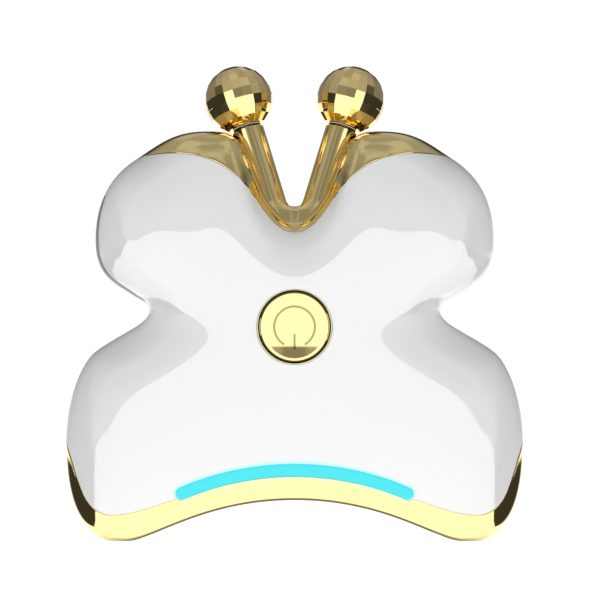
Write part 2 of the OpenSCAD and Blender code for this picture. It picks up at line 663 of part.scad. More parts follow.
module main_board() {
  color("green") difference() {
    box(-board_half_w, board_half_w, board_back, board_front, board_low, board_high);
    for (p = BOARD_POSTS) rod(p, board_back - 1, board_front + 1, small_screw_r + fit_gap);
  }
}
module board_chips() {
  color("black") {
    box(-17, -11, board_front, board_front + 1, button_z - 3, button_z + 3);
    box(11, 15, board_front, board_front + 1.4, button_z - 6, button_z - 2);
    box(11.5, 14.5, board_front, board_front + 0.8, button_z + 2, button_z + 5);
  }
}
module small_screw(at, seat, tip, r, head_r, head_t) {
  rod(at, tip, seat, r);
  difference() {
    rod(at, seat, seat + head_t, head_r);
    translate([at[0], -seat - head_t * 0.4, at[1]]) rotate([90, 0, 0]) cylinder(h = head_t, r = head_r * 0.45, $fn = 6);
  }
}
module board_screws() {
  color("silver") {
    for (p = BOARD_POSTS) small_screw(p, board_front, chassis_face + 0.6, small_screw_r, small_head_r, small_head_t);
    for (p = PORT_POSTS) mirror([0, 1, 0])
      small_screw(p, port_board_far, chassis_face + 0.6, small_screw_r, small_head_r, small_head_t);
  }
}
module chassis() {
  root = [chassis_half_w - 6, 0];
  color("lightgray") difference() {
    union() {
      plate(-chassis_face, chassis_face) {
        translate([-chassis_half_w, chassis_low]) square([2 * chassis_half_w, chassis_high - chassis_low]);
        both_sides() {
          arm([root[0], chassis_high - 7], [SCREW_SPOTS[0][0], SCREW_SPOTS[0][1]], 9);
          arm([root[0], chassis_low + 9], [SCREW_SPOTS[1][0], SCREW_SPOTS[1][1]], 11);
        }
      }
      for (p = BOARD_POSTS) rod(p, chassis_face, board_back, post_r);
      for (p = LIGHT_POSTS) rod(p, chassis_face, light_board_back, light_post_r);
      for (p = PORT_POSTS) rod(p, -port_board_near, -chassis_face, post_r);
    }
    for (p = BOARD_POSTS) rod(p, chassis_face, board_back + 1, small_screw_r + fit_gap);
    for (p = PORT_POSTS) rod(p, -port_board_near - 1, -chassis_face, small_screw_r + fit_gap);
    for (p = FORK_SCREWS) rod(p, -chassis_face - 1, chassis_face + 1, small_screw_r + 0.1 + fit_gap);
    both_sides() for (s = SCREW_SPOTS) rod(s, -chassis_face - 1, chassis_face + 1, screw_r + fit_gap);
  }
}
module battery() {
  color("silver")
    box(-battery_w / 2, battery_w / 2, -chassis_face - tape_t - battery_t, -chassis_face - tape_t,
      battery_low, battery_low + battery_l);
}
module battery_tape() {
  color("white")
    box(-battery_w / 2 + 2, battery_w / 2 - 2, -chassis_face - tape_t, -chassis_face,
      battery_low + 2, battery_low + battery_l - 2);
}

// ---- Vibration motor: it lies along X ----

module along_motor(x) {
  translate([x, motor_y, motor_z]) rotate([0, 90, 0]) children();
}
module vibration_motor() {
  color("silver") along_motor(motor_x) difference() {
    cylinder(h = motor_l, d = motor_d);
    translate([0, 0, motor_l - 3]) cylinder(h = 4, r = shaft_r + running_gap);
  }
}
module motor_boot() {
  half = motor_d / 2 + boot_wall;
  color("dimgray") difference() {
    translate([motor_x + 2, motor_y - half, motor_z - half]) cube([boot_l, 2 * half, 2 * half]);
    along_motor(motor_x) cylinder(h = motor_l, d = motor_d + 2 * 0.02);
  }
}
module motor_weight() {
  start = motor_x + motor_l + move_gap;
  color("gray") {
    along_motor(motor_x + motor_l - 2.5) cylinder(h = 2.5 + move_gap + weight_l + 0.5, r = shaft_r);
    along_motor(start) difference() {
      cylinder(h = weight_l, r = weight_r);
      translate([0.4, -weight_r - 1, -1]) cube([weight_r + 1, 2 * weight_r + 2, weight_l + 2]);
    }
  }
}

// ---- Charging port ----

module port_board() {
  color("green") difference() {
    box(-port_board_half_w, port_board_half_w, -port_board_far, -port_board_near,
      port_z - port_board_half_h, port_z + port_board_half_h);
    for (p = PORT_POSTS) rod(p, -port_board_far - 1, -port_board_near + 1, small_screw_r + fit_gap);
  }
}
module charge_socket() {
  depth_out = port[3] - port_sink - port_board_far;
  color("silver") translate([0, port_board_far, port_z]) rotate([-90, 0, 0]) {
    difference() {
      linear_extrude(depth_out) stadium(port_w, port_h);
      translate([0, 0, 1]) linear_extrude(depth_out) stadium(port_w - 2 * port_wall, port_h - 2 * port_wall);
    }
    translate([-port_w * 0.36, -0.35, 0.5]) cube([port_w * 0.72, 0.7, depth_out - 1.2]);
  }
}

// ---- Fork and rollers ----

module roller_fork() {
  crotch = ball_x - (ball_up - web_z) * tan(stem_lean);
  root = ball_x - (ball_up - stem_low) * tan(stem_lean);
  cut_w = 2 * fork_plate_half_w;
  color("gold") difference() {
    union() {
      for (hand = [-1, 1]) on_stem(hand)
        from_to(stem_top - (ball_up - stem_low) / cos(stem_lean), stem_top, stem_d / 2);
      on_fork() plate(-web_half_t, web_half_t)
        polygon([[-root, stem_low], [root, stem_low], [crotch, web_z], [-crotch, web_z]]);
      box(-fork_plate_half_w, fork_plate_half_w, chassis_face, chassis_face + fork_plate_t, fork_low, fork_plate_high);
    }
    for (hand = [-1, 1]) on_stem(hand) from_to(stem_top - axle_depth, stem_top + 1, axle_r + fit_gap);
    for (p = FORK_SCREWS) rod(p, 0, chassis_face + fork_plate_t + 1, fork_bore_r);
    box(-cut_w, cut_w, -rear_depth, chassis_face, 0, stem_low);
    box(-cut_w, cut_w, chassis_face + fork_plate_t, front_depth, 0, stem_low);
  }
}
module fork_screws() {
  color("silver") for (p = FORK_SCREWS)
    small_screw(p, chassis_face + fork_plate_t, -chassis_face + 0.2, small_screw_r + 0.1, small_head_r + 0.1, small_head_t);
}
module axle(hand) {
  color("silver") on_stem(hand) difference() {
    from_to(stem_top - axle_depth + 0.3, axle_top, axle_r);
    difference() {
      from_to(ring_low - 0.05, ring_low + ring_t + 0.05, axle_r + 1);
      from_to(ring_low - 1, ring_low + ring_t + 1, axle_r - axle_groove);
    }
  }
}
module axle_left() {
  axle(-1);
}
module axle_right() {
  axle(1);
}
// Points of the faceted roller: the pole, rings of corners down to the flat, and the flat's middle
module faceted_roller() {
  last_angle = 180 - asin(flat_r / ball_r);
  rings = [for (j = [1:facet_rows]) for (i = [0:facet_columns - 1])
    let (polar = last_angle * j / facet_rows, turn = 360 * i / facet_columns)
    [ball_r * sin(polar) * cos(turn), ball_r * sin(polar) * sin(turn), ball_r * cos(polar)]];
  points = concat([[0, 0, ball_r]], rings, [[0, 0, -flat_w]]);
  bottom = len(points) - 1;
  function corner(j, i) = 1 + j * facet_columns + i % facet_columns;
  polyhedron(points, concat(
    [for (i = [0:facet_columns - 1]) [0, corner(0, i + 1), corner(0, i)]],
    [for (j = [0:facet_rows - 2]) for (i = [0:facet_columns - 1])
      each quad(corner(j, i), corner(j, i + 1), corner(j + 1, i + 1), corner(j + 1, i), false)],
    [for (i = [0:facet_columns - 1]) [bottom, corner(facet_rows - 1, i), corner(facet_rows - 1, i + 1)]]));
}
module ball(hand) {
  color("gold") on_stem(hand) difference() {
    faceted_roller();
    from_to(-flat_w - 1, pocket_top, bush_r + fit_gap);
  }
}
module ball_left() {
  ball(-1);
}
module ball_right() {
  ball(1);
}
module bush(hand) {
  color("tan") on_stem(hand) difference() {
    from_to(-flat_w, bush_top, bush_r);
    from_to(-flat_w - 1, bush_top + 1, axle_r + running_gap);
  }
}
module bush_left() {
  bush(-1);
}
module bush_right() {
  bush(1);
}
module thrust_washers() {
  color("silver") for (hand = [-1, 1]) on_stem(hand) difference() {
    from_to(stem_top, washer_top, stem_d / 2 - 0.4);
    from_to(stem_top - 1, washer_top + 1, axle_r + fit_gap);
  }
}
module retaining_rings() {
  color("silver") for (hand = [-1, 1]) on_stem(hand) difference() {
    from_to(ring_low, ring_low + ring_t, ring_r);
    from_to(ring_low - 1, ring_low + ring_t + 1, axle_r - axle_groove + fit_gap);
  }
}

// ---- Fasteners of the casing ----

module shell_screws() {
  color("silver") both_sides() for (s = SCREW_SPOTS) mirror([0, 1, 0])
    small_screw(s, head_seat, -screw_reach, screw_r, screw_head_d / 2, head_t);
}
module screw_plugs() {
  color("white") both_sides() for (s = SCREW_SPOTS)
    rod(s, -s[3] + plug_sink, -head_seat - head_t, screw_head_d / 2);
}

front_shell();
rear_shell();
side_seal_left();
side_seal_right();
top_trim();
bottom_band();
light_guide();
led_board();
led_chips();
button_bezel();
power_button();
button_clip();
switch_body();
switch_plunger();
main_board();
board_chips();
board_screws();
chassis();
battery();
battery_tape();
vibration_motor();
motor_boot();
motor_weight();
port_board();
charge_socket();
roller_fork();
fork_screws();
axle_left();
axle_right();
ball_left();
ball_right();
bush_left();
bush_right();
thrust_washers();
retaining_rings();
shell_screws();
screw_plugs();
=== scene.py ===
"""Looks of the facial toning device: smooth shells, gold trims, light strip, button and rollers.

Shapes are worked out in millimetres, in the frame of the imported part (+Z up, the button faces -Y),
and become metres where a mesh is made.
"""
import json
import math

import bmesh
import bpy
import numpy as np
from mathutils import Matrix, Vector
from mathutils.bvhtree import BVHTree


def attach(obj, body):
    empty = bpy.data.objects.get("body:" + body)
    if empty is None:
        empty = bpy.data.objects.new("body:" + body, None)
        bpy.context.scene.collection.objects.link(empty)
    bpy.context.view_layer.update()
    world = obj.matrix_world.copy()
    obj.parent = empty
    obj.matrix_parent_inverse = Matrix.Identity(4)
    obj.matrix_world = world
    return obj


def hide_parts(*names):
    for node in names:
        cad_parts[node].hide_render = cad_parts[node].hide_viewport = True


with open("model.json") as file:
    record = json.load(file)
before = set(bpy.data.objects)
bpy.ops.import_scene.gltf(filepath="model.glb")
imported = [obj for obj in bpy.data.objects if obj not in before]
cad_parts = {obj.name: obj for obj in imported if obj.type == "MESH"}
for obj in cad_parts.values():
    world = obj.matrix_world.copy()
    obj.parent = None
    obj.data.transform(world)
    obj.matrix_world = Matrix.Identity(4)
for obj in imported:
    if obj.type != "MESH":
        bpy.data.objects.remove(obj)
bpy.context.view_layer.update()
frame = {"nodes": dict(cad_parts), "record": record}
MM = 0.001
DEG = math.radians(1)
FRONT, REAR = -1, 1

# ---- Sizes, in millimetres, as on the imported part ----

lower_w, lower_z = 100.2, 20.5
upper_w, upper_z = 87.2, 65.7
waist_w, waist_z = 63.6, 50.2
crest_x, crest_z = 19.0, 89.4
notch_z, arch_z = 69.4, 8.9
foot_x, foot_flat = 38.4, 3.4
front_depth, rear_depth, rear_step = 16.2, 16.55, 0.8
shell_wall, trim_t, seal_t, grip_show = 2.0, 0.8, 0.5, 0.9
button_z, button_d, button_t, button_proud, button_lip = 46.7, 14.8, 2.4, 0.3, 0.5
bezel_wall, bezel_proud, bezel_floor, floor_bore_r = 0.45, 0.35, 13.2, 5.5
dish_depth, symbol_r, symbol_line, symbol_deep, bar_top = 0.9, 4.42, 0.5, 0.25, 1.55
ball_d, ball_x, ball_rise = 15.0, 12.3, 7.05
bush_r, bore_deep, washer_gap, washer_t = 3.05, 4, 0.2, 0.5
stem_lean, fork_back, stem_d, web_z, web_half, stem_foot = 16.7, 12.0, 7.0, 72.6, 3, 14.3
facet_columns, facet_rows, facet_edge = 22, 9, 0.04
light_w, light_r, light_z, light_half_angle = 2.7, 61.8, 15.55, 23.4
# The last of these is the width of the painted glow of the strip's light beside it.
light_proud, slot_deep, painted_glow_w = 0.02, 3.2, 1.0
screw_stations, screw_inset, screw_seat_r, seat_floor = (3.6, 7.7), 17, 2.35, 5.1
port_w, port_h, port_inset = 9.1, 3.3, 12
fit_gap, move_gap = 0.05, 0.3
hole_r = button_d / 2 + move_gap + bezel_wall + fit_gap
dish_r = button_d / 2 - button_lip
ball_r = ball_d / 2
flat_r = stem_d / 2 + 0.6
flat_w = math.sqrt(ball_r ** 2 - flat_r ** 2)
ball_z = crest_z + ball_rise
fork_tilt, lean = math.radians(fork_back), math.radians(stem_lean)
ball_up = web_z + (ball_z - web_z) / math.cos(fork_tilt)

# Fine forms that only the scene has, and the density of its meshes
loop_step, face_rows, inner_rows, soft_rows = 0.55, 66, 12, 91
seam_edge, trim_edge, hole_edge, seam_gap = 0.10, 0.18, 0.22, 0.06
sweep_dots, end_dots = 121, 17
fork_cell, fork_blend, web_round = 0.25, 1.8, 1.2
clear_of_body = 25
QUARTER = np.radians([0, 30, 60, 90])

# ---- Outline: half of it, clockwise from the notch to the arch, as Bezier segments ----

ANCHORS = np.array([[0, notch_z], [crest_x, crest_z], [upper_w / 2, upper_z], [waist_w / 2, waist_z],
                    [lower_w / 2, lower_z], [foot_x + foot_flat / 2, 0], [foot_x - foot_flat / 2, 0],
                    [0, arch_z]])
HEADINGS = [0, 0, -90, -90, -90, 180, 180, 180]
TURNS = [(0.37, 0.35, 70, 0.33, 0.05, 0.78, 0.30), (0.65, 0.265, -33.5, 0.43, 0.41, 0.38, 0.37),
         (0.67, 0.77, -146, 0.56, 0.30, 0.38, 0.35), (0.64, 0.30, -36, 0.20, 0.47, 0.16, 0.51)]
# Per station: reach of the edge rounding, half height of the rim, depth of the face at the rim,
# first handle of the rib, and depth of the stem trough
REACH = [9, 9, 9, 11, 14, 11, 10, 13, 13, 1.6, 1.3, 1.3]
RIM_HALF = [7.5, 7.5, 4, 1, 0.8, 0.8, 0.8, 0.8, 1.5, 10, 10.7, 10.7]
FACE = [12.3, 12.3, 11.8, 11.5, 12, 11.6, 11.2, 12, 13, 12, 12, 12]
HANDLE = [7, 6, 9, 11, 12, 8, 5, 9, 10, 5, 5, 9]
TROUGH = [3.2, 3.2, 0, 0, 0, 0, 0, 0, 0, 0, 0, 0]
rib_spread, round_power, trough_share, least_rim = 0.5, 2.6, 0.87, 0.1
top_tip_t, bottom_tip_t = 2.97, 7.96
least_seam, seam_search = 0.03, 14.0
grip_from, grip_to, grip_taper, grip_round = 3.5, 5.6, 0.5, 0.25
cell, soft_margin, soft_spreads, soft_from, soft_to = 0.4, 8, (0.8, 1.6, 3.0), 0.8, 3.0
field_reach = (53, 92)
notch_gold, crest_gold, foot_gold = 2.1, 4.9, 5.75


def heading(angle):
    return np.array([math.cos(math.radians(angle)), math.sin(math.radians(angle))])


def arc_between(a, angle_a, handle_a, b, angle_b, handle_b):
    a, b = np.array(a, float), np.array(b, float)
    far = np.linalg.norm(b - a)
    return np.array([a, a + handle_a * far * heading(angle_a), b - handle_b * far * heading(angle_b), b])


def bezier(c, u):
    u = np.asarray(u, float)[..., None]
    return (1 - u) ** 3 * c[0] + 3 * (1 - u) ** 2 * u * c[1] + 3 * (1 - u) * u * u * c[2] + u ** 3 * c[3]


def bezier_slope(c, u):
    u = np.asarray(u, float)[..., None]
    return (1 - u) ** 2 * (c[1] - c[0]) + 2 * (1 - u) * u * (c[2] - c[1]) + u * u * (c[3] - c[2])


def half_outline():
    segments = []
    for i, turn in enumerate(TURNS):
        a, b = ANCHORS[i], ANCHORS[i + 1]
        middle = a + (b - a) * np.array(turn[:2])
        segments.append(arc_between(a, HEADINGS[i], turn[3], middle, turn[2], turn[4]))
        segments.append(arc_between(middle, turn[2], turn[5], b, HEADINGS[i + 1], turn[6]))
    segments.append(arc_between(ANCHORS[4], -90, 0.86, ANCHORS[5], 180, 0.04))
    segments.append(arc_between(ANCHORS[5], 180, 0.33, ANCHORS[6], 180, 0.33))
    segments.append(arc_between(ANCHORS[6], 180, 0.15, ANCHORS[7], 180, 0.53))
    return segments


SEGMENTS = half_outline()
LAST = len(SEGMENTS)


def piece_of(t):
    return np.minimum(np.floor(t).astype(int), LAST - 1)


def rim(t):
    t = np.atleast_1d(t).astype(float)
    return np.array([bezier(SEGMENTS[k], v - k) for k, v in zip(piece_of(t), t)])


def inward(t):
    t = np.atleast_1d(t).astype(float)
    slopes = np.array([bezier_slope(SEGMENTS[k], v - k) for k, v in zip(piece_of(t), t)])
    slopes /= np.linalg.norm(slopes, axis=1)[:, None]
    return np.stack([slopes[:, 1], -slopes[:, 0]], 1)


def at(table, t):
    table = np.array(table, float)
    k = piece_of(t)
    u = t - k
    return table[k] + (table[k + 1] - table[k]) * u * u * (3 - 2 * u)


def stations(step):
    """Places along the half outline, about step apart, with the trims' tips among them."""
    found = [top_tip_t, bottom_tip_t]
    for k, c in enumerate(SEGMENTS):
        dots = bezier(c, np.linspace(0, 1, 60))
        count = max(3, int(round(np.linalg.norm(np.diff(dots, axis=0), axis=1).sum() / step)))
        found += list(k + np.arange(count) / count)
    return np.unique(np.array(found + [LAST]))


class Ribs:
    """Ribs run from the outline to the button's hole, and carry the body's surface."""

    def __init__(self, t):
        self.t = t
        p = rim(t)
        run = np.concatenate([[0], np.cumsum(np.linalg.norm(np.diff(p, axis=0), axis=1))])
        v = p - [0, button_z]
        phi = (1 - rib_spread) * np.arctan2(v[:, 0], v[:, 1]) + rib_spread * math.pi * run / run[-1]
        out = np.stack([np.sin(phi), np.cos(phi)], 1)
        q = np.array([0, button_z]) + hole_r * out
        self.p, self.inward = p, inward(t)
        start = p + at(HANDLE, t)[:, None] * self.inward
        finish = q + 0.33 * np.linalg.norm(p - q, axis=1)[:, None] * out
        u = np.linspace(0, 1, 97)
        self.dots = np.array([bezier(np.array(c), u) for c in zip(p, start, finish, q)])
        steps = np.linalg.norm(np.diff(self.dots, axis=1), axis=2)
        self.runs = np.concatenate([np.zeros((len(t), 1)), np.cumsum(steps, axis=1)], 1)
        self.reach = self.runs[:, -1]
        self.round_reach, self.rim_half = at(REACH, t), at(RIM_HALF, t)
        self.face, self.trough = at(FACE, t), at(TROUGH, t)
        self.soft = {side: softened(self, side) for side in (FRONT, REAR)}

    def along(self, d):
        """Points at the distances d, one per rib, from the outline."""
        d = np.clip(np.broadcast_to(d, self.t.shape), 0, self.reach)
        k = np.clip((self.runs < d[:, None]).sum(1) - 1, 0, self.runs.shape[1] - 2)
        rib = np.arange(len(k))
        low, high = self.runs[rib, k], self.runs[rib, k + 1]
        share = ((d - low) / (high - low))[:, None]
        return self.dots[rib, k] * (1 - share) + self.dots[rib, k + 1] * share

    def depth(self, side, d):
        """Depth of the skin: plain at the outline, and blurred further in, where ribs would crease it."""
        share, soft = (sampled(field, self.along(d)) for field in self.soft[side])
        return self.plain_depth(side, d) * (1 - share) + soft * share

    def plain_depth(self, side, d):
        full = front_depth if side == FRONT else rear_depth
        face = self.face - (0 if side == FRONT else rear_step)
        far = 1 - d / self.reach
        v = np.clip(1 - d / self.round_reach, 0, 1)
        rounding = 1 - np.sqrt(1 - v ** round_power)
        return full + (face - full) * far * far - (face - self.rim_half) * rounding

    def rim_point(self, side, share, inset):
        y = share * np.maximum(self.rim_half - inset, least_rim)
        shift = (self.p[:, 1] - web_z) * math.tan(fork_tilt)
        off = (side * y - shift) / (trough_share * self.rim_half)
        dip = self.trough * (1 - share ** 4) * np.clip(1 - off ** 2, 0, None) ** 2
        q = self.p + (inset + dip)[:, None] * self.inward
        return np.stack([q[:, 0], side * y, q[:, 1]], 1)

    def skin_point(self, side, d, inset):
        """A point of the face, moved in along the surface's normal by inset."""
        step = 0.05
        slope = (self.depth(side, d + step) - self.depth(side, d)) / step
        unit = np.sqrt(1 + slope * slope)
        q = self.along(d + inset * slope / unit)
        y = np.maximum(self.depth(side, d) - inset / unit, least_rim)
        return np.stack([q[:, 0], side * y, q[:, 1]], 1)

    def face_point(self, side, d, inset):
        q = self.along(d + inset * (1 - d / self.reach))
        y = np.maximum(self.depth(side, d) - inset, least_rim)
        return np.stack([q[:, 0], side * y, q[:, 1]], 1)


def sampled(field, q):
    """Values of a field of square cells at the points q, on either side of the middle."""
    u, v = np.abs(q[:, 0]) / cell + soft_margin, q[:, 1] / cell + soft_margin
    i, j = np.floor(u).astype(int), np.floor(v).astype(int)
    u, v = u - i, v - j
    lower = field[i, j] * (1 - v) + field[i, j + 1] * v
    upper = field[i + 1, j] * (1 - v) + field[i + 1, j + 1] * v
    return lower * (1 - u) + upper * u


def blurred(values, known, spread):
    """A Gaussian blur over the known cells, mirrored at the middle."""
    reach = int(3 * spread / cell) + 1
    bell = np.exp(-0.5 * (np.arange(-reach, reach + 1) * cell / spread) ** 2)
    whole = []
    for grid in (values * known, known):
        right = grid[soft_margin:]
        both = np.concatenate([right[:0:-1], right])
        for axis in (0, 1):
            both = np.apply_along_axis(lambda line: np.convolve(line, bell, "same"), axis, both)
        whole.append(both[len(right) - 1 - soft_margin:])
    return whole[0] / np.maximum(whole[1], 1e-9)


def softened(ribs, side):
    """Two fields over x and z: the share of the blurred depth, and that depth."""
    rows = []
    last = soft_rows - 1
    for k in range(soft_rows):
        d = ribs.reach * (k / last) ** 2
        q = ribs.along(d)
        rows.append(np.stack([q[:, 0], ribs.plain_depth(side, d), q[:, 1]], 1))
    count = len(ribs.t)
    points = np.stack(rows, 1).reshape(-1, 3).tolist()
    faces = grid_faces(count, soft_rows, False, False)
    full = front_depth if side == FRONT else rear_depth
    points.append([0, full, button_z])
    faces += [[i * soft_rows + last, (i + 1) * soft_rows + last, len(points) - 1] for i in range(count - 1)]
    tree = BVHTree.FromPolygons(points, faces)
    x, z = ((np.arange(int(reach / cell) + soft_margin) - soft_margin) * cell for reach in field_reach)
    depths, known = np.zeros((len(x), len(z))), np.zeros((len(x), len(z)))
    down = Vector((0, -1, 0))
    for i, a in enumerate(x):
        for j, b in enumerate(z):
            hit = tree.ray_cast(Vector((max(abs(a), 1e-4), clear_of_body, b)), down)[0]
            if hit:
                depths[i, j], known[i, j] = hit[1], 1
    outline = ribs.p[::3]
    far = np.min([np.hypot(x[:, None] - p[0], z[None, :] - p[1]) for p in outline], axis=0)
    soft = depths
    for spread in soft_spreads:
        level = blurred(depths, known, spread)
        part = np.clip((far - 1.5 * spread) / (1.5 * spread), 0, 1)
        soft = soft + (level - soft) * part * part * (3 - 2 * part) * known
    share = np.clip((far - soft_from) / (soft_to - soft_from), 0, 1) * known
    return share * share * (3 - 2 * share), soft


# ---- Seams: where the gold trims end on the face ----

light_centre_z = light_z - light_r
half_angle = math.radians(light_half_angle)
light_end = np.array([light_r * math.sin(half_angle), light_centre_z + light_r * math.cos(half_angle)])
seam_r = light_r - light_w / 2


def seam_curves():
    tip_top, tip_bottom = rim(top_tip_t)[0], rim(bottom_tip_t)[0]
    saddle = np.array([0, notch_z - notch_gold])
    beside_stem = [ball_x * 0.7, saddle[1] + (crest_z - notch_z) * 0.37]
    under_crest = [crest_x + (tip_top[0] - crest_x) * 0.42, crest_z - crest_gold]
    top = [arc_between(saddle, 0, 0.35, beside_stem, 57, 0.3),
           arc_between(beside_stem, 57, 0.35, under_crest, 2, 0.4),
           arc_between(under_crest, 2, 0.3, tip_top, -18, 0.3)]
    corner = light_end + light_w * np.array([0.22, -0.4])
    over_foot = np.array([foot_x + foot_flat * 0.4, foot_gold])
    at_corner = over_foot + (tip_bottom - over_foot) * [0.6, 0.27]
    bottom = [arc_between(corner, -15, 0.3, over_foot, 0, 0.35),
              arc_between(over_foot, 0, 0.4, at_corner, 64, 0.3),
              arc_between(at_corner, 64, 0.3, tip_bottom, 68, 0.3)]
    dots = np.linspace(0, 1, 60)
    return [np.concatenate([bezier(c, dots) for c in curves]) for curves in (top, bottom)]


TOP_SEAM, BOTTOM_SEAM = seam_curves()


def over_seam(top, q):
    """Height over the seam, negative on the gold side."""
    if top:
        return np.interp(q[:, 0], TOP_SEAM[:, 0], TOP_SEAM[:, 1]) - q[:, 1]
    arc = light_centre_z + np.sqrt(np.maximum(seam_r ** 2 - q[:, 0] ** 2, 0))
    curve = np.interp(q[:, 0], BOTTOM_SEAM[:, 0], BOTTOM_SEAM[:, 1])
    return q[:, 1] - np.where(q[:, 0] < BOTTOM_SEAM[0, 0], arc, curve)


def find_seams(ribs, top):
    low, high = np.zeros(len(ribs.t)), np.full(len(ribs.t), seam_search)
    for _ in range(22):
        middle = (low + high) / 2
        inside = over_seam(top, ribs.along(middle)) < 0
        low, high = np.where(inside, middle, low), np.where(inside, high, middle)
    return np.maximum((low + high) / 2, least_seam)


def seams(ribs, hand):
    """Distance of the seam along each rib. Only the left side, hand -1, has the wider grip strip."""
    t = ribs.t
    plain = np.full(len(t), least_seam)
    if hand < 0:
        u = np.clip((t - grip_from) / (grip_to - grip_from), 0, 1)
        wide = (grip_show * (1 - grip_taper * u) - least_seam) * np.sin(math.pi * u) ** grip_round
        plain = plain + np.where((u > 0) & (u < 1), wide, 0)
    found = np.where(t < top_tip_t, find_seams(ribs, True), plain)
    return np.where(t > bottom_tip_t, find_seams(ribs, False), found)


# ---- Mesh helpers ----

def new_piece(name, points, faces, body, replaced, slot, material, sharp=32):
    """A mesh piece from points in millimetres, riding on a body and standing for a CAD node."""
    return adopt(plain_mesh(name, points, faces, sharp), body, replaced, slot, material)


def adopt(piece, body, replaced, slot, material):
    """Gives a shaped piece its material, its body and the CAD node that it stands for."""
    piece.data.materials.clear()
    piece.data.materials.append(material)
    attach(piece, body)
    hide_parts(replaced)
    return piece


def tidy_mesh(piece, sharp):
    """Welds doubled points, turns the faces outwards and sets which edges stay sharp."""
    work = bmesh.new()
    work.from_mesh(piece.data)
    bmesh.ops.remove_doubles(work, verts=work.verts, dist=2e-7)
    bmesh.ops.dissolve_degenerate(work, edges=work.edges, dist=1e-7)
    bmesh.ops.recalc_face_normals(work, faces=work.faces)
    work.to_mesh(piece.data)
    work.free()
    piece.data.shade_smooth()
    piece.data.set_sharp_from_angle(angle=math.radians(sharp))


def plain_mesh(name, points, faces, sharp=30):
    """A mesh object from points in millimetres, such as a cutter that is deleted before the end."""
    mesh = bpy.data.meshes.new(name)
    mesh.from_pydata([tuple(v) for v in np.asarray(points) * MM], [], [tuple(f) for f in faces])
    piece = bpy.data.objects.new(name, mesh)
    bpy.context.scene.collection.objects.link(piece)
    tidy_mesh(piece, sharp)
    return piece


def apply_modifiers(piece):
    made = bpy.data.meshes.new_from_object(piece.evaluated_get(bpy.context.evaluated_depsgraph_get()))
    piece.modifiers.clear()
    old = piece.data
    piece.data = made
    bpy.data.meshes.remove(old)


def cut(piece, cutters, sharp=32, operation="DIFFERENCE"):
    """Cuts each cutter out of the piece, or joins it to the piece, and deletes the cutter."""
    for cutter in cutters:
        change = piece.modifiers.new("cut", "BOOLEAN")
        change.operation = operation
        change.object = cutter
        change.solver = "MANIFOLD"
        apply_modifiers(piece)
        bpy.data.objects.remove(cutter)
    piece.data.shade_smooth()
    piece.data.set_sharp_from_angle(angle=math.radians(sharp))


def grid_faces(columns, rows, wrap_columns, wrap_rows):
    i, j = np.meshgrid(np.arange(columns if wrap_columns else columns - 1),
                       np.arange(rows if wrap_rows else rows - 1), indexing="ij")
    i, j = i.ravel(), j.ravel()
    i2, j2 = (i + 1) % columns, (j + 1) % rows
    return np.stack([i * rows + j, i * rows + j2, i2 * rows + j2, i2 * rows + j], 1).tolist()


def loft(profiles, wrap_columns, wrap_rows):
    """Points and faces of a surface through the profiles; open ends of closed profiles get caps."""
    columns, rows, _ = profiles.shape
    faces = grid_faces(columns, rows, wrap_columns, wrap_rows)
    if wrap_rows and not wrap_columns:
        faces.append(list(range(rows)))
        faces.append(list(range(columns * rows - 1, (columns - 1) * rows - 1, -1)))
    return profiles.reshape(-1, 3), faces


def lathe(outline, turns, place):
    """Points and faces of an outline of (radius, height), turned about its own Z and put in place."""
    angle = np.arange(turns) / turns * 2 * math.pi
    outline = np.array(outline, float)
    ring = np.stack([np.cos(angle), np.sin(angle)], 1)
    profiles = np.array([[(r * c[0], r * c[1], h) for r, h in outline] for c in ring])
    points, faces = loft(profiles, True, False)
    return np.array([place @ Vector(p) for p in points]), faces


def rounded(corners, radius, steps=4):
    """An outline with its inner corners rounded; each corner may carry its own radius as a third value."""
    out = []
    for k, corner in enumerate(corners):
        p = np.array(corner[:2], float)
        r = corner[2] if len(corner) > 2 else radius
        if k in (0, len(corners) - 1) or r == 0:
            out.append(p)
            continue
        a, b = np.array(corners[k - 1][:2], float) - p, np.array(corners[k + 1][:2], float) - p
        la, lb = np.linalg.norm(a), np.linalg.norm(b)
        bend = math.acos(np.clip(np.dot(a, b) / la / lb, -1, 1)) / 2
        back = min(r / math.tan(bend), 0.45 * la, 0.45 * lb)
        start, end = p + a / la * back, p + b / lb * back
        for u in np.linspace(0, 1, steps + 1):
            out.append((1 - u) ** 2 * start + 2 * u * (1 - u) * p + u * u * end)
    return out


# A lathe's own Z turned to face the front, at the button's centre
FACING = Matrix.Translation(Vector((0, 0, button_z))) @ Matrix.Rotation(math.pi / 2, 4, "X")
ON_FORK = (Matrix.Translation(Vector((0, 0, web_z))) @ Matrix.Rotation(-fork_tilt, 4, "X")
           @ Matrix.Translation(Vector((0, 0, -web_z))))


def on_stem(hand):
    return (ON_FORK @ Matrix.Translation(Vector((hand * ball_x, 0, ball_up)))
            @ Matrix.Rotation(hand * lean, 4, "Y"))


# ---- Materials ----

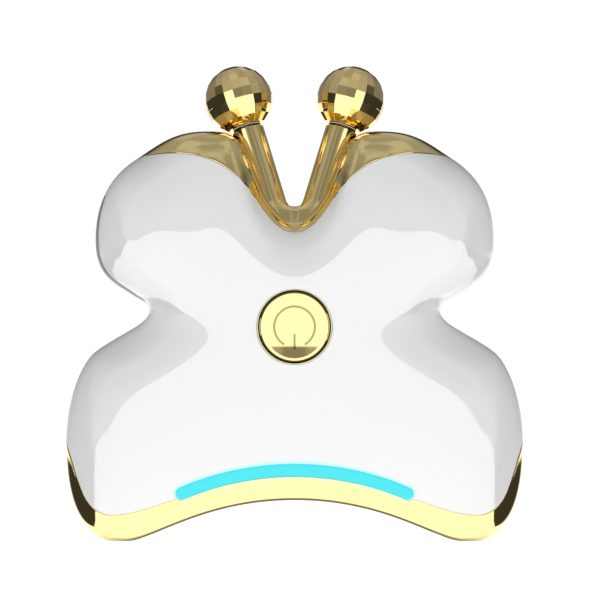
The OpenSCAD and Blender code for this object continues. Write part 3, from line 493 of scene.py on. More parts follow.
# Each slot's name, light and dark colour, metallic, least and greatest roughness, grain and bump height;
# the last three are for single pieces
FINISHES = {
    "shell": ("glossy_white_plastic", (0.86, 0.86, 0.865), (0.85, 0.85, 0.855), 0, 0.20, 0.26, 220, 0),
    "gold_trim": ("polished_gold_trim", (0.98, 0.79, 0.38), (0.96, 0.76, 0.35), 1, 0.055, 0.10, 300, 0),
    "gold_part": ("polished_gold", (0.98, 0.79, 0.38), (0.96, 0.76, 0.35), 1, 0.045, 0.09, 300, 0),
    "gold_ball": ("mirror_gold", (0.98, 0.78, 0.37), (0.96, 0.75, 0.34), 1, 0.03, 0.06, 300, 0),
    "seal": ("grey_elastomer", (0.32, 0.32, 0.325), (0.29, 0.29, 0.295), 0, 0.42, 0.55, 900, 0.00001),
    "steel": ("bright_steel", (0.62, 0.62, 0.63), (0.55, 0.55, 0.56), 1, 0.18, 0.32, 1500, 0.000004),
    "dark_plastic": ("black_plastic", (0.028, 0.028, 0.03), (0.02, 0.02, 0.021), 0, 0.4, 0.55, 1200, 0.00001),
    "dark_rubber": ("black_rubber", (0.035, 0.035, 0.035), (0.025, 0.025, 0.025), 0, 0.6, 0.8, 900, 0.00002),
    "inner_plastic": ("natural_plastic", (0.62, 0.62, 0.60), (0.56, 0.56, 0.54), 0, 0.45, 0.6, 700, 0.00001),
    "bush_plastic": ("acetal", (0.80, 0.76, 0.66), (0.74, 0.70, 0.60), 0, 0.3, 0.42, 900, 0),
    "battery_skin": ("pouch_foil", (0.72, 0.73, 0.75), (0.60, 0.61, 0.63), 1, 0.28, 0.45, 400, 0.00003),
    "tape": ("foam_tape", (0.85, 0.85, 0.83), (0.76, 0.76, 0.74), 0, 0.8, 0.95, 2500, 0.00004),
    "board": ("solder_mask", (0.025, 0.20, 0.085), (0.015, 0.14, 0.06), 0, 0.25, 0.4, 1800, 0.000008),
    "led": ("phosphor", (0.93, 0.86, 0.45), (0.88, 0.80, 0.38), 0, 0.35, 0.5, 2500, 0),
    "dark_steel": ("dark_steel", (0.10, 0.09, 0.08), (0.07, 0.065, 0.06), 1, 0.25, 0.4, 1500, 0.000004),
    "darker_symbol_gold": ("darker_symbol_gold", (0.98, 0.79, 0.38), (0.96, 0.76, 0.35), 1, 0.05, 0.09, 300, 0),
    "ring_gold_with_painted_reflection": ("ring_gold_with_painted_reflection", (0.80, 0.72, 0.45), (0.76, 0.68, 0.42), 1, 0.08, 0.12, 300, 0),
}


def new_material(name, colour, metallic=0.0, roughness=0.5):
    material = bpy.data.materials.new(name)
    material.use_nodes = True
    shader = material.node_tree.nodes["Principled BSDF"]
    shader.inputs["Base Color"].default_value = (*colour, 1)
    shader.inputs["Metallic"].default_value = metallic
    shader.inputs["Roughness"].default_value = roughness
    return material, material.node_tree, shader


def link(tree, a, b):
    tree.links.new(a, b)


def axes(tree, kind="Object"):
    """The three axes of a texture coordinate."""
    place = tree.nodes.new("ShaderNodeTexCoord")
    split = tree.nodes.new("ShaderNodeSeparateXYZ")
    link(tree, place.outputs[kind], split.inputs[0])
    return split.outputs


def math_node(tree, operation, a, b=0.0):
    node = tree.nodes.new("ShaderNodeMath")
    node.operation = operation
    for socket, value in zip(node.inputs, (a, b)):
        set_or_link(tree, socket, value)
    return node.outputs[0]


def set_or_link(tree, socket, value):
    if isinstance(value, (int, float)):
        socket.default_value = value
    else:
        link(tree, value, socket)


def step_between(tree, value, start, stop, before, after):
    """A smooth step from one level to another while the value goes from start to stop."""
    node = tree.nodes.new("ShaderNodeMapRange")
    node.interpolation_type = "SMOOTHSTEP"
    link(tree, value, node.inputs["Value"])
    node.inputs["From Min"].default_value = start
    node.inputs["From Max"].default_value = stop
    set_or_link(tree, node.inputs["To Min"], before)
    set_or_link(tree, node.inputs["To Max"], after)
    return node.outputs["Result"]


def mirror_ray(tree):
    """1 for the rays by which polished and clear pieces see their surroundings."""
    path = tree.nodes.new("ShaderNodeLightPath")
    return math_node(tree, "MAXIMUM", path.outputs["Is Glossy Ray"], path.outputs["Is Transmission Ray"])


def noise(tree, scale, detail=4.0, roughness=0.5):
    """A noise value in the object's own coordinates, whose unit is a metre."""
    place = tree.nodes.new("ShaderNodeTexCoord")
    node = tree.nodes.new("ShaderNodeTexNoise")
    node.inputs["Scale"].default_value = scale
    node.inputs["Detail"].default_value = detail
    node.inputs["Roughness"].default_value = roughness
    link(tree, place.outputs["Object"], node.inputs["Vector"])
    return node.outputs["Fac"]


def between(tree, value, low, high):
    node = tree.nodes.new("ShaderNodeMapRange")
    node.inputs["To Min"].default_value = low
    node.inputs["To Max"].default_value = high
    link(tree, value, node.inputs["Value"])
    return node.outputs["Result"]


def mixed(tree, value, a, b):
    node = tree.nodes.new("ShaderNodeMix")
    node.data_type = "RGBA"
    node.inputs[6].default_value = (*a, 1)
    node.inputs[7].default_value = (*b, 1)
    link(tree, value, node.inputs[0])
    return node.outputs[2]


def bump(tree, shader, value, distance, strength=1.0):
    node = tree.nodes.new("ShaderNodeBump")
    node.inputs["Distance"].default_value = distance
    node.inputs["Strength"].default_value = strength
    link(tree, value, node.inputs["Height"])
    link(tree, node.outputs["Normal"], shader.inputs["Normal"])


def finish_material(name, light, dark, metallic, smooth, rough, grain, height):
    """A material whose colour and roughness wander between two values, with a fine bump."""
    material, tree, shader = new_material(name, light, metallic, rough)
    wander = noise(tree, grain)
    link(tree, mixed(tree, wander, dark, light), shader.inputs["Base Color"])
    link(tree, between(tree, wander, smooth, rough), shader.inputs["Roughness"])
    if height > 0:
        bump(tree, shader, noise(tree, grain * 12), height)
    return material


def make_materials():
    """The materials by slot, with a few more for single pieces."""
    made = {slot: finish_material(*finish) for slot, finish in FINISHES.items()}
    made["light"] = light_material()
    shell = made["shell"].node_tree.nodes["Principled BSDF"]
    shell.inputs["Specular IOR Level"].default_value = 0.2
    shell.inputs["Coat Weight"].default_value = 0.08
    shell.inputs["Coat Roughness"].default_value = 0.06
    # The engraved symbol is tinted darker than the rest of the button.
    tint(made["darker_symbol_gold"], symbol_mask, (0.36, 0.33, 0.14))
    # Painted dark reflection on the bezel's inner part; its two sides stay pale.
    tint(made["ring_gold_with_painted_reflection"], painted_ring_reflection_mask, (0.15, 0.13, 0.06))
    # Painted glow: the light strip's cyan light, painted into the colour of the white shell and of the gold
    # trim beside the strip.
    tint(made["shell"], painted_strip_glow, (0.42, 0.86, 0.84))
    tint(made["gold_trim"], painted_strip_glow, (0.55, 0.85, 0.62))
    return made


def tint(material, mask, colour):
    """Mixes another colour into the base colour where the mask is 1."""
    tree = material.node_tree
    socket = tree.nodes["Principled BSDF"].inputs["Base Color"]
    node = tree.nodes.new("ShaderNodeMix")
    node.data_type = "RGBA"
    node.inputs[7].default_value = (*colour, 1)
    link(tree, mask(tree), node.inputs[0])
    link(tree, socket.links[0].from_socket, node.inputs[6])
    link(tree, node.outputs[2], socket)


def distance(tree, a, b):
    squares = [math_node(tree, "MULTIPLY", v, v) for v in (a, b)]
    return math_node(tree, "SQRT", math_node(tree, "ADD", *squares))


def off_circle(tree, a, b, radius):
    """Distance from a circle round the middle, whose radius is in millimetres."""
    return math_node(tree, "ABSOLUTE", math_node(tree, "SUBTRACT", distance(tree, a, b), radius * MM))


def symbol_mask(tree):
    """1 in the engraved ring and bar of the button's symbol, where the button's gold is tinted darker."""
    x, _, z = axes(tree)
    up = math_node(tree, "SUBTRACT", z, button_z * MM)
    across = math_node(tree, "ABSOLUTE", x)
    half, soft = symbol_line / 2 * MM, 0.03 * MM
    ring = step_between(tree, off_circle(tree, across, up, symbol_r), half - soft, half + soft, 1, 0)
    from_top = math_node(tree, "ARCTAN2", across, up)
    ring = math_node(tree, "MULTIPLY", ring, step_between(tree, from_top, 2.61, 2.63, 1, 0))
    bar = step_between(tree, across, half - soft, half + soft, 1, 0)
    bar = math_node(tree, "MULTIPLY", bar, step_between(tree, up, -1.6 * MM, -1.5 * MM, 1, 0))
    bar = math_node(tree, "MULTIPLY", bar, step_between(tree, up, -4.9 * MM, -4.8 * MM, 0, 1))
    return math_node(tree, "MAXIMUM", ring, bar)


def painted_ring_reflection_mask(tree):
    """1 over the bezel's inner part, where a dark reflection is painted into the gold, except at its two
    sides, where the ring stays pale.
    """
    x, _, z = axes(tree)
    up = math_node(tree, "SUBTRACT", z, button_z * MM)
    dark = step_between(tree, distance(tree, x, up), 7.98 * MM, 8.03 * MM, 1, 0)
    turn = math_node(tree, "ABSOLUTE", math_node(tree, "ARCTAN2", up, x))
    above_right = step_between(tree, turn, 20 * DEG, 26 * DEG, 0, 1)
    above_left = step_between(tree, turn, 164 * DEG, 168 * DEG, 1, 0)
    return math_node(tree, "MULTIPLY", dark, math_node(tree, "MULTIPLY", above_right, above_left))


def painted_strip_glow(tree):
    """1 beside the light strip on the front, where the strip's cyan light is painted on as a glow, fading to
    0 further off.
    """
    x, y, z = axes(tree)
    across = math_node(tree, "ABSOLUTE", x)
    up = math_node(tree, "SUBTRACT", z, light_centre_z * MM)
    angle = math_node(tree, "ARCTAN2", across, up)
    off_arc = off_circle(tree, across, up, light_r)
    off_end = distance(tree, math_node(tree, "SUBTRACT", across, light_end[0] * MM),
                       math_node(tree, "SUBTRACT", z, light_end[1] * MM))
    off = step_between(tree, angle, half_angle - 0.0001, half_angle + 0.0001, off_arc, off_end)
    halo = step_between(tree, off, (light_w / 2 - 0.3) * MM, (light_w / 2 + painted_glow_w) * MM, 1, 0)
    return math_node(tree, "MULTIPLY", halo, step_between(tree, y, -0.006, -0.004, 1, 0))


def light_material():
    material, tree, shader = new_material("lit_light_guide", (0.015, 0.12, 0.14), 0, 0.3)
    glow = noise(tree, 140, 2)
    link(tree, mixed(tree, glow, (0.082, 0.87, 0.95), (0.088, 0.90, 0.97)), shader.inputs["Emission Color"])
    shader.inputs["Emission Strength"].default_value = 0.78
    shader.inputs["Specular IOR Level"].default_value = 0.2
    return material


# ---- Shells ----

# Rows of a shell's section: up the rim's ledge, and along it to the seam
RIM_SHARES = (0, 0.25, 0.5, 0.75, 1)
LEDGE_SHARES = (0.35, 0.7, 1)


def both_hands(make):
    """Profiles round the whole outline, from one function of the hand, 1 right and -1 left."""
    right, left = make(1), make(-1)
    left = left * np.array([-1, 1, 1])
    return np.concatenate([right, left[-2:0:-1]])


def shell_profiles(side, ribs, hand):
    """Closed sections of a shell, one per rib: ledge, seam edge, face, button hole and inside."""
    g = seams(ribs, hand)
    trim = (ribs.t <= top_tip_t) | (ribs.t >= bottom_tip_t)
    ledge = np.where(trim, trim_t, seal_t) + fit_gap
    edge = np.minimum(seam_edge, g * 0.8)
    deep = shell_wall + trim_t + fit_gap
    rows = [ribs.rim_point(side, share, ledge) for share in RIM_SHARES]
    rows += [ribs.skin_point(side, g * share ** 2, ledge) for share in LEDGE_SHARES]
    rows += [ribs.skin_point(side, g + edge * (1 - math.cos(a)), edge * (1 - math.sin(a))) for a in QUARTER]
    start, stop = g + edge, ribs.reach - hole_edge
    rows += [ribs.skin_point(side, start + (stop - start) * (j / face_rows) ** 2, 0)
             for j in range(1, face_rows + 1)]
    rows += [ribs.face_point(side, stop + hole_edge * math.sin(a), hole_edge * (1 - math.cos(a)))
             for a in QUARTER[1:]]
    rows += [ribs.face_point(side, ribs.reach * (j / inner_rows) ** 1.6,
                             shell_wall + (deep - shell_wall) * (1 - (j / inner_rows) ** 1.6))
             for j in range(inner_rows, 0, -1)]
    rows += [ribs.rim_point(side, 1, deep), ribs.rim_point(side, 0, deep)]
    return np.stack(rows, 1)


def trim_profiles(ribs, hand, thick, keep):
    """U-shaped sections that wrap the rim from the front seam to the rear one, for the ribs to keep."""
    g = seams(ribs, hand)
    gap, edge = np.minimum(seam_gap, g / 4), np.minimum(trim_edge, g / 4)
    rows = []
    for side in (FRONT, REAR):
        end = g - gap
        half = [ribs.skin_point(side, end - edge * (1 - math.cos(a)), edge * (1 - math.sin(a)))
                for a in QUARTER]
        half += [ribs.skin_point(side, (end - edge) * s ** 2, 0) for s in np.linspace(1, 0, 22)[1:-1]]
        half += [ribs.rim_point(side, s, 0) for s in np.linspace(1, 0, 12)]
        inner = [ribs.rim_point(side, s, thick) for s in np.linspace(0, 1, 7)]
        inner += [ribs.skin_point(side, end * s ** 2, thick) for s in (0.3, 0.6, 0.9, 1)]
        rows.append((half, inner))
    (front, front_in), (rear, rear_in) = rows
    return np.stack(front + rear[-2::-1] + rear_in[::-1] + front_in[1:], 1)[keep]


def make_shell(side, ribs, material):
    profiles = both_hands(lambda hand: shell_profiles(side, ribs, hand))
    node = "front_shell" if side == FRONT else "rear_shell"
    points, faces = loft(profiles, True, True)
    if side == REAR:
        points, faces = close_middle(profiles, points, faces)
    return new_piece(node + "_skin", points, faces, "case", node, "shell", material)


def close_middle(profiles, points, faces):
    """The rear shell has no button hole: a disc closes it outside and another inside."""
    columns, rows, _ = profiles.shape
    mouth = len(RIM_SHARES) + len(LEDGE_SHARES) + len(QUARTER) + face_rows - 1
    inside = mouth + len(QUARTER)
    faces = [f for k, f in enumerate(faces) if not mouth <= k % rows < inside]
    shares = (0.8, 0.55, 0.3)
    extra = []
    for row, deep in ((mouth, 0), (inside, shell_wall)):
        ring = [i * rows + row for i in range(columns)]
        base = len(points) + len(extra)
        centre = np.array([0, rear_depth - deep, button_z])
        for share in shares:
            for i in ring:
                p = points[i]
                q = centre + (p - centre) * share
                q[1] = rear_depth - deep - (rear_depth - deep - p[1]) * share * share
                extra.append(q)
        extra.append(centre)
        rings = [ring] + [[base + k * columns + i for i in range(columns)] for k in range(len(shares))]
        for a, b in zip(rings, rings[1:]):
            faces += [[a[i], a[(i + 1) % columns], b[(i + 1) % columns], b[i]] for i in range(columns)]
        last = rings[-1]
        faces += [[last[i], last[(i + 1) % columns], base + len(shares) * columns] for i in range(columns)]
    return np.concatenate([points, np.array(extra)]), faces


def make_trims(ribs, materials):
    """The gold trim and band and the two seals between them; gives back the band, which gets a slot."""
    right = trim_profiles(ribs, 1, trim_t, ribs.t <= top_tip_t)
    top = np.concatenate([(right * [-1, 1, 1])[:0:-1], right])
    right = trim_profiles(ribs, 1, trim_t, ribs.t >= bottom_tip_t)
    bottom = np.concatenate([right, (right * [-1, 1, 1])[-2::-1]])
    beside = (ribs.t >= top_tip_t) & (ribs.t <= bottom_tip_t)
    chains = {"top_trim": top, "bottom_band": bottom}
    for name, hand in (("side_seal_right", 1), ("side_seal_left", -1)):
        chains[name] = trim_profiles(ribs, hand, seal_t, beside) * [hand, 1, 1]
    made = {}
    for name, chain in chains.items():
        slot = "seal" if "seal" in name else "gold_trim"
        made[name] = new_piece(name + "_skin", *loft(chain, False, True), "case", name, slot, materials[slot])
    return made["bottom_band"]


# ---- Light strip ----

def stadium_rings(grow, insets):
    """Rings of the light strip's outline, each drawn in by an inset, as (x, z) points."""
    sweep = np.linspace(-half_angle, half_angle, sweep_dots)
    turn = np.linspace(0, math.pi, end_dots + 2)[1:-1]
    s, c = math.sin(half_angle), math.cos(half_angle)
    rings = []
    for inset in insets:
        half = light_w / 2 + grow - inset
        upper = [(math.sin(a) * (light_r + half), math.cos(a) * (light_r + half)) for a in sweep]
        lower = [(math.sin(a) * (light_r - half), math.cos(a) * (light_r - half)) for a in sweep[::-1]]
        ends = [(math.cos(b) * half, math.sin(b) * half) for b in turn]
        right = [(s * (light_r + out) + c * on, c * (light_r + out) - s * on) for out, on in ends]
        left = [(-s * (light_r - out) - c * on, c * (light_r - out) - s * on) for out, on in ends]
        rings.append(np.array(upper + right + lower + left) + [0, light_centre_z])
    return rings


def strip_solid(rings, depths):
    """A closed body from rings and the depth of each, with caps over the first and the last ring."""
    count = len(rings[0])
    points = [(x, -d, z) for ring, depth in zip(rings, depths) for (x, z), d in zip(ring, depth)]
    faces = grid_faces(len(rings), count, False, True)
    return points, faces + strip_caps(count, len(rings))


def strip_caps(count, rings):
    """Faces across the first and the last ring: quads from the upper edge to the lower one."""
    right = list(range(sweep_dots, sweep_dots + end_dots))
    lower = list(range(right[-1] + 1, right[-1] + 1 + sweep_dots))[::-1]
    left = list(range(lower[0] + 1, count))
    cap = [[k, k + 1, lower[k + 1], lower[k]] for k in range(sweep_dots - 1)]
    cap += [[sweep_dots - 1] + right + [lower[-1]], [lower[0]] + left + [0]]
    return [[base + k for k in face] for base in (0, (rings - 1) * count) for face in cap]


def surface_finder(pieces):
    """A function that gives the depth of the pieces' outer front surface at (x, z), in millimetres."""
    graph = bpy.context.evaluated_depsgraph_get()
    trees = [BVHTree.FromObject(piece, graph) for piece in pieces]

    def depth_at(x, z):
        hits = [tree.ray_cast(Vector((x * MM, -0.1, z * MM)), Vector((0, 1, 0)))[0] for tree in trees]
        return max([-hit[1] / MM for hit in hits if hit] or [front_depth])
    return depth_at


def make_light(front, band, materials):
    """The lens follows the surface round its slot, which is cut in the front shell and in the band."""
    depth_at = surface_finder([front, band])
    surface = [depth_at(x, z) for x, z in stadium_rings(0.25, [0])[0]]
    levels = np.max([np.roll(surface, k) for k in range(-8, 9)], axis=0)
    insets = [0, 0, 0.03, 0.10, 0.35, 0.75]
    drops = [slot_deep, 0.10, 0.02, -light_proud, -light_proud - 0.05, -light_proud - 0.08]
    lens = strip_solid(stadium_rings(-0.04, insets), [levels - drop for drop in drops])
    new_piece("light_guide_lens", *lens, "case", "light_guide", "light", materials["light"], sharp=40)
    depths = [levels * 0 + front_depth + 2, levels - slot_deep - 0.3]
    for slotted in (front, band):
        cut(slotted, [plain_mesh("slot_cutter", *strip_solid(stadium_rings(0.03, [0, 0]), depths))])


def cut_rear_openings(rear, ribs):
    """The seats of the four shell screws and the charging port's opening."""
    cutters = []
    seat = [(0, seat_floor), (screw_seat_r, seat_floor), (screw_seat_r, clear_of_body), (0, clear_of_body)]
    for t in screw_stations:
        x, z = (np.interp(t, ribs.t, column) for column in ribs.along(screw_inset).T)
        for hand in (-1, 1):
            place = Matrix.Translation((hand * x, 0, z)) @ Matrix.Rotation(-math.pi / 2, 4, "X")
            cutters.append(plain_mesh("seat_cutter", *lathe(seat, 96, place)))
    half, end_r = (port_w - port_h) / 2, port_h / 2
    sweep = np.linspace(-math.pi / 2, math.pi / 2, 17)
    side = np.stack([half + end_r * np.cos(sweep), end_r * np.sin(sweep)], 1)
    ring = np.concatenate([side, -side]) + [0, ribs.along(port_inset)[-1][1]]
    rings = np.array([[(x, y, z) for x, z in ring] for y in (seat_floor, clear_of_body)])
    cutters.append(plain_mesh("port_cutter", *loft(rings, False, True)))
    cut(rear, cutters)


# ---- Button ----

def make_button(materials):
    """The bezel's ring, and the button's disc with its dish and its engraved symbol."""
    bezel_r, bore = hole_r - fit_gap, button_d / 2 + move_gap
    top, low = front_depth + bezel_proud, bezel_floor - 1
    outline = rounded([(floor_bore_r, low), (floor_bore_r, bezel_floor, 0.1), (bore, bezel_floor, 0.1),
                       (bore, top - 0.55, 0.05), (bore + 0.26, top, 0.04), (bezel_r, top, 0.14),
                       (bezel_r, low)], 0.1, 6)
    outline.append(outline[0])
    new_piece("button_bezel_ring", *lathe(outline, 240, FACING), "case", "button_bezel", "gold_part",
              materials["ring_gold_with_painted_reflection"], sharp=50)
    face, back = front_depth + button_proud, front_depth + button_proud - button_t
    dish = [(r, face - dish_depth + dish_lift(r)) for r in np.linspace(0, dish_r, 30)]
    edge = rounded([dish[-1], (dish_r + 0.02, face, 0.05), (button_d / 2, face, 0.18),
                    (button_d / 2, back, 0.1), (0, back)], 0.1, 5)
    button = new_piece("power_button_disc", *lathe(dish + edge[1:], 240, FACING), "button", "power_button",
                       "gold_part", materials["darker_symbol_gold"], sharp=40)
    cut(button, symbol_cutters(face - dish_depth), sharp=40)


def symbol_cutters(floor):
    """Cutters for the engraved ring, open below, and the bar from its gap to the middle."""
    half, high = symbol_line / 2, 2.0
    sweep = np.radians(np.linspace(-150, 150, 161))
    section = [(-half * 0.4, -symbol_deep), (half * 0.4, -symbol_deep), (half, high), (-half, high)]
    ring = np.array([[((symbol_r + a) * math.sin(s), -(floor + dish_lift(symbol_r) + h),
                       button_z + (symbol_r + a) * math.cos(s)) for a, h in section] for s in sweep])
    bar = np.array([[(a, -(floor + dish_lift(button_z - z) + h), z) for a, h in section]
                    for z in np.linspace(button_z - bar_top, button_z - symbol_r - half, 12)])
    return [plain_mesh("symbol_cutter", *loft(rows, False, True)) for rows in (ring, bar)]


def dish_lift(r):
    """Height of the dish over its middle, at a distance from the middle."""
    ball = (dish_r ** 2 + dish_depth ** 2) / 2 / dish_depth
    return ball - math.sqrt(ball * ball - r * r)


# ---- Fork and rollers ----

def make_ball(hand, material):
    """A roller of flat facets, in rows along the sphere's meridians, with its bore underneath."""
    last = math.pi - math.asin(flat_r / ball_r)
    polar = [last * j / facet_rows for j in range(1, facet_rows + 1)]
    outline = [(0, ball_r)] + [(ball_r * math.sin(a), ball_r * math.cos(a)) for a in polar]
    outline += [(bush_r, -flat_w), (bush_r, -flat_w + bore_deep), (0, -flat_w + bore_deep)]
    side = "left" if hand < 0 else "right"
    ball = new_piece("roller_" + side, *lathe(outline, facet_columns, on_stem(hand)), "roller_" + side,
                     "ball_" + side, "gold_ball", material, 5)
    change = ball.modifiers.new("edge", "BEVEL")
    change.width = facet_edge * MM
    change.segments = 1
    change.limit_method = "ANGLE"
    change.angle_limit = 6 * DEG
    apply_modifiers(ball)
    ball.data.shade_flat()


def make_fork(material):
    """Two stems that meet in a web; a remesh blends them where they join."""
    stem_top = -flat_w - washer_gap - washer_t
    low = button_z + stem_foot
    stem_low = stem_top - (ball_up - low) / math.cos(lean)
    stem_r = stem_d / 2
    stem = rounded([(0, stem_low), (stem_r, stem_low, 0), (stem_r, stem_top, 0.35), (0, stem_top)], 0.3, 6)
    fork, *others = [plain_mesh("stem", *lathe(stem, 160, on_stem(hand))) for hand in (-1, 1)]
    fork.name = "roller_fork_body"
    crotch, root = (ball_x - (ball_up - z) * math.tan(lean) for z in (web_z, low))
    corners = [(-root, low), (root, low), (crotch, web_z), (-crotch, web_z)]
    points = [ON_FORK @ Vector((x, y, z)) for y in (-web_half, web_half) for x, z in corners]
    faces = [(0, 1, 2, 3), (7, 6, 5, 4), (0, 4, 5, 1), (1, 5, 6, 2), (2, 6, 7, 3), (3, 7, 4, 0)]
    cut(fork, others + [plain_mesh("web", points, faces)], sharp=30, operation="UNION")
    change = fork.modifiers.new("even", "REMESH")
    change.mode = "VOXEL"
    change.voxel_size = fork_cell * MM
    apply_modifiers(fork)
    settle_fork(fork, stem_top, stem_low)
    adopt(fork, "case", "roller_fork", "gold_part", material)


def fork_field(p, stem_top, stem_low):
    """Distance from the fork's skin, in its own upright frame, with the joins blended."""
    stems = []
    for hand in (-1, 1):
        axis = np.array([hand * math.sin(lean), 0, math.cos(lean)])
        off = p - [hand * ball_x, 0, ball_up]
        high = off @ axis
        radius = np.linalg.norm(off - high[:, None] * axis, axis=1)
        stems.append(np.maximum(np.maximum(radius - stem_d / 2, high - stem_top), stem_low - high))
    q = np.stack([np.abs(p[:, 1]) - (web_half - web_round), p[:, 2] - (web_z - web_round)], 1)
    web = np.linalg.norm(np.maximum(q, 0), axis=1) + np.minimum(q.max(1), 0) - web_round
    axis_x = ball_x - (ball_up - p[:, 2]) * math.tan(lean)
    web = np.maximum(np.maximum(web, np.abs(p[:, 0]) - axis_x), stem_low + ball_up - p[:, 2])
    return smooth_union(smooth_union(*stems), web)


def smooth_union(a, b):
    near = np.maximum(fork_blend - np.abs(a - b), 0) / fork_blend
    return np.minimum(a, b) - near * near * fork_blend / 4


def settle_fork(fork, stem_top, stem_low):
    """Moves the mesh's points onto the fork's blended skin and takes the shading from it."""
    back = np.array(ON_FORK.inverted().to_3x3())
    pivot = np.array([0, 0, web_z])
    count = len(fork.data.vertices)
    p = np.empty(count * 3)
    fork.data.vertices.foreach_get("co", p)
    p = (p.reshape(-1, 3) / MM - pivot) @ back.T + pivot
    step, most = 0.01, 0.3
    for _ in range(5):
        value = fork_field(p, stem_top, stem_low)
        ahead = [fork_field(p + shift, stem_top, stem_low) - value for shift in np.eye(3) * step]
        slope = np.stack(ahead, 1) / step
        size = np.maximum(np.linalg.norm(slope, axis=1), 0.3)[:, None]
        p = p - np.clip(value[:, None] * slope / size ** 2, -most, most)
    normals = (slope / size) @ back
    p = (p - pivot) @ back + pivot
    fork.data.vertices.foreach_set("co", (p * MM).ravel())
    fork.data.shade_smooth()
    fork.data.normals_split_custom_set_from_vertices(normals.tolist())


# ---- Stage: camera, light and floor, in metres, degrees and levels of light ----

# The photograph's width at the object, in millimetres, and what lies at its middle
photo_width, aim_x, aim_z = 131.14, 0.965, 52.74
camera_distance = 1.6
softbox_level, ceiling_level, low_ceiling_level, flag_grey, behind_white = 1.4, 0.44, 0.29, 0.04, 1.0
patch_scale, patch_levels, stripe_levels, side_grey = 2.6, (0.8, 1.2), (0.7, 1.1), 0.22
soft_low, soft_high, soft_rise = 1.55, 0.03, 50
key_level, fill_level = 2.6, 2.2
lamp_size, lamp_far, lamp_rise, lamp_aim = 3.2, 2.2, -38, 0.05
# Of these, the floor's glow for glossy rays, the grey of its painted shadow, and where the painted dark flags
# and that shadow begin are painted light, seen only in reflections.
floor_half, floor_lift, painted_floor_glow, painted_shadow_grey = 6.0, 0.82, 1.38, 0.155
flag_corner, flag_from, painted_shadow_edge = (49, 9), 47.5, (0.0112, 0.0130)


def make_camera():
    """A long lens straight at the front, as the photograph is taken."""
    data = bpy.data.cameras.new("camera")
    data.sensor_width = 36
    data.lens = data.sensor_width * camera_distance / (photo_width * MM)
    data.clip_end = 20
    camera = bpy.data.objects.new("camera", data)
    bpy.context.scene.collection.objects.link(camera)
    camera.location = (aim_x * MM, -camera_distance, aim_z * MM)
    camera.rotation_euler = (math.pi / 2, 0, 0)
    bpy.context.scene.camera = camera


def make_world():
    """A studio all round: a bright softbox in front, grey above it, dark flags beside, white behind."""
    world = bpy.data.worlds.new("studio")
    bpy.context.scene.world = world
    world.use_nodes = True
    tree = world.node_tree
    x, y, z = axes(tree, "Generated")
    turn = math_node(tree, "ABSOLUTE", math_node(tree, "ARCTAN2", x, math_node(tree, "MULTIPLY", y, -1)))
    rise = math_node(tree, "ARCSINE", z)
    low_ceiling = math_node(tree, "MULTIPLY", low_ceiling_level,
                            step_between(tree, turn, 9 * DEG, 15 * DEG, *stripe_levels))
    ceiling = math_node(tree, "MULTIPLY", sky_patches(tree, x, y, z),
                        step_between(tree, rise, 24 * DEG, 48 * DEG, low_ceiling, ceiling_level))
    in_front = step_between(tree, rise, 17 * DEG, 18.5 * DEG, softbox_level, ceiling)
    flag = step_between(tree, rise, 24 * DEG, 34 * DEG, flag_grey, ceiling)
    behind = step_between(tree, rise, 2 * DEG, 6 * DEG, behind_white, flag)
    side = step_between(tree, rise, 20 * DEG, 34 * DEG, side_grey, ceiling)
    level = step_between(tree, turn, 46 * DEG, 51 * DEG, in_front, flag)
    level = step_between(tree, turn, 98 * DEG, 108 * DEG, level, side)
    level = step_between(tree, turn, 150 * DEG, 165 * DEG, level, behind)
    soft = step_between(tree, rise, 0, soft_rise * DEG, soft_low, soft_high)
    level = step_between(tree, mirror_ray(tree), 0, 1, soft, level)
    camera_ray = tree.nodes.new("ShaderNodeLightPath").outputs["Is Camera Ray"]
    background = tree.nodes["Background"]
    background.inputs["Color"].default_value = (1, 1, 1, 1)
    link(tree, step_between(tree, camera_ray, 0, 1, level, 1.0), background.inputs["Strength"])


def sky_patches(tree, x, y, z):
    """Soft patches of light and dark overhead, the same on the left and on the right."""
    both_sides = tree.nodes.new("ShaderNodeCombineXYZ")
    for value, socket in zip((math_node(tree, "ABSOLUTE", x), y, z), both_sides.inputs):
        link(tree, value, socket)
    texture = tree.nodes.new("ShaderNodeTexNoise")
    texture.inputs["Scale"].default_value = patch_scale
    texture.inputs["Detail"].default_value = 0
    link(tree, both_sides.outputs[0], texture.inputs["Vector"])
    return step_between(tree, texture.outputs["Fac"], 0.38, 0.62, *patch_levels)


def make_lamp(name, side, level):
    """A wide soft lamp from low down; it lights the white shells and leaves the gold to the studio."""
    data = bpy.data.lights.new(name, "AREA")
    data.shape = "SQUARE"
    data.size = lamp_size
    data.energy = level * math.pi * lamp_size ** 2
    data.use_shadow = False
    lamp = bpy.data.objects.new(name, data)
    bpy.context.scene.collection.objects.link(lamp)
    rise = lamp_rise * DEG
    lamp.location = (0, side * lamp_far * math.cos(rise), lamp_far * math.sin(rise) + lamp_aim)
    lamp.rotation_euler = (-side * (math.pi / 2 - rise), 0, 0)
    lamp.visible_glossy = False
    lamp.visible_camera = False


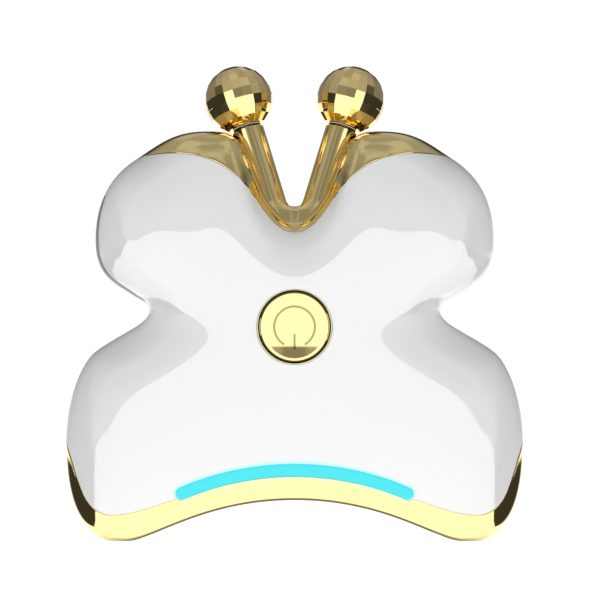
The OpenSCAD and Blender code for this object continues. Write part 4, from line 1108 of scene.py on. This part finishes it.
def make_floor():
    """A white floor; polished pieces see on it a painted reflection instead: a painted white glow, painted
    dark flags and a painted shadow under the object.
    """
    mesh = bpy.data.meshes.new("floor")
    corners = [(-1, -1), (1, -1), (1, 1), (-1, 1)]
    mesh.from_pydata([(a * floor_half, b * floor_half, 0) for a, b in corners], [], [(0, 1, 2, 3)])
    floor = bpy.data.objects.new("floor", mesh)
    bpy.context.scene.collection.objects.link(floor)
    material, tree, shader = new_material("white_floor", (0.9, 0.9, 0.9), 0, 0.9)
    shader.inputs["Specular IOR Level"].default_value = 0
    shader.inputs["Emission Color"].default_value = (1, 1, 1, 1)
    camera_ray = tree.nodes.new("ShaderNodeLightPath").outputs["Is Camera Ray"]
    link(tree, math_node(tree, "MULTIPLY", camera_ray, floor_lift), shader.inputs["Emission Strength"])
    # Glossy rays see a painted glow in place of the floor's lit colour.
    glow = tree.nodes.new("ShaderNodeEmission")
    link(tree, painted_floor_reflection(tree), glow.inputs["Strength"])
    mix = tree.nodes.new("ShaderNodeMixShader")
    link(tree, mirror_ray(tree), mix.inputs[0])
    link(tree, shader.outputs[0], mix.inputs[1])
    link(tree, glow.outputs[0], mix.inputs[2])
    link(tree, mix.outputs[0], tree.nodes["Material Output"].inputs["Surface"])
    mesh.materials.append(material)


def painted_floor_reflection(tree):
    """Painted reflection of the floor, for glossy rays: a painted white glow, painted dark beside the object
    and a painted shadow under it.
    """
    x, y, _ = axes(tree)
    wide = math_node(tree, "ABSOLUTE", x)
    beside = math_node(tree, "SUBTRACT", wide, flag_corner[0] * MM)
    ahead = math_node(tree, "SUBTRACT", math_node(tree, "MULTIPLY", y, -1), flag_corner[1] * MM)
    turn = math_node(tree, "ARCTAN2", beside, ahead)
    # Painted dark flags on the floor beside and behind the object, with pale stretches behind it.
    pale_behind = step_between(tree, turn, 96 * DEG, 106 * DEG, flag_grey, painted_floor_glow)
    dark_behind = step_between(tree, turn, 150 * DEG, 165 * DEG, flag_grey, painted_floor_glow)
    behind = step_between(tree, wide, 0.26, 0.32, dark_behind, pale_behind)
    behind = step_between(tree, wide, 0.45, 0.55, behind, dark_behind)
    level = step_between(tree, turn, flag_from * DEG, (flag_from + 2) * DEG, painted_floor_glow, behind)
    # Painted shadow: the glow drops to a grey close under the object.
    under = step_between(tree, math_node(tree, "ABSOLUTE", y), *painted_shadow_edge, painted_shadow_grey, 1.0)
    under = step_between(tree, wide, 0.034, 0.046, under, 1.0)
    return math_node(tree, "MULTIPLY", level, under)


# ---- All of it ----

bpy.context.scene.view_settings.view_transform = "Standard"
make_camera()
materials = make_materials()
for node in frame["record"]["subparts"]:
    piece = frame["nodes"][node["node"]]
    piece.data.materials.clear()
    piece.data.materials.append(materials[node["material_slot"]])
frame["nodes"]["thrust_washers"].data.materials[0] = materials["dark_steel"]
ribs = Ribs(stations(loop_step))
front = make_shell(FRONT, ribs, materials["shell"])
rear = make_shell(REAR, ribs, materials["shell"])
band = make_trims(ribs, materials)
make_light(front, band, materials)
cut_rear_openings(rear, ribs)
make_button(materials)
make_ball(-1, materials["gold_ball"])
make_ball(1, materials["gold_ball"])
make_fork(materials["gold_part"])
make_world()
make_lamp("key", FRONT, key_level)
make_lamp("fill", REAR, fill_level)
make_floor()
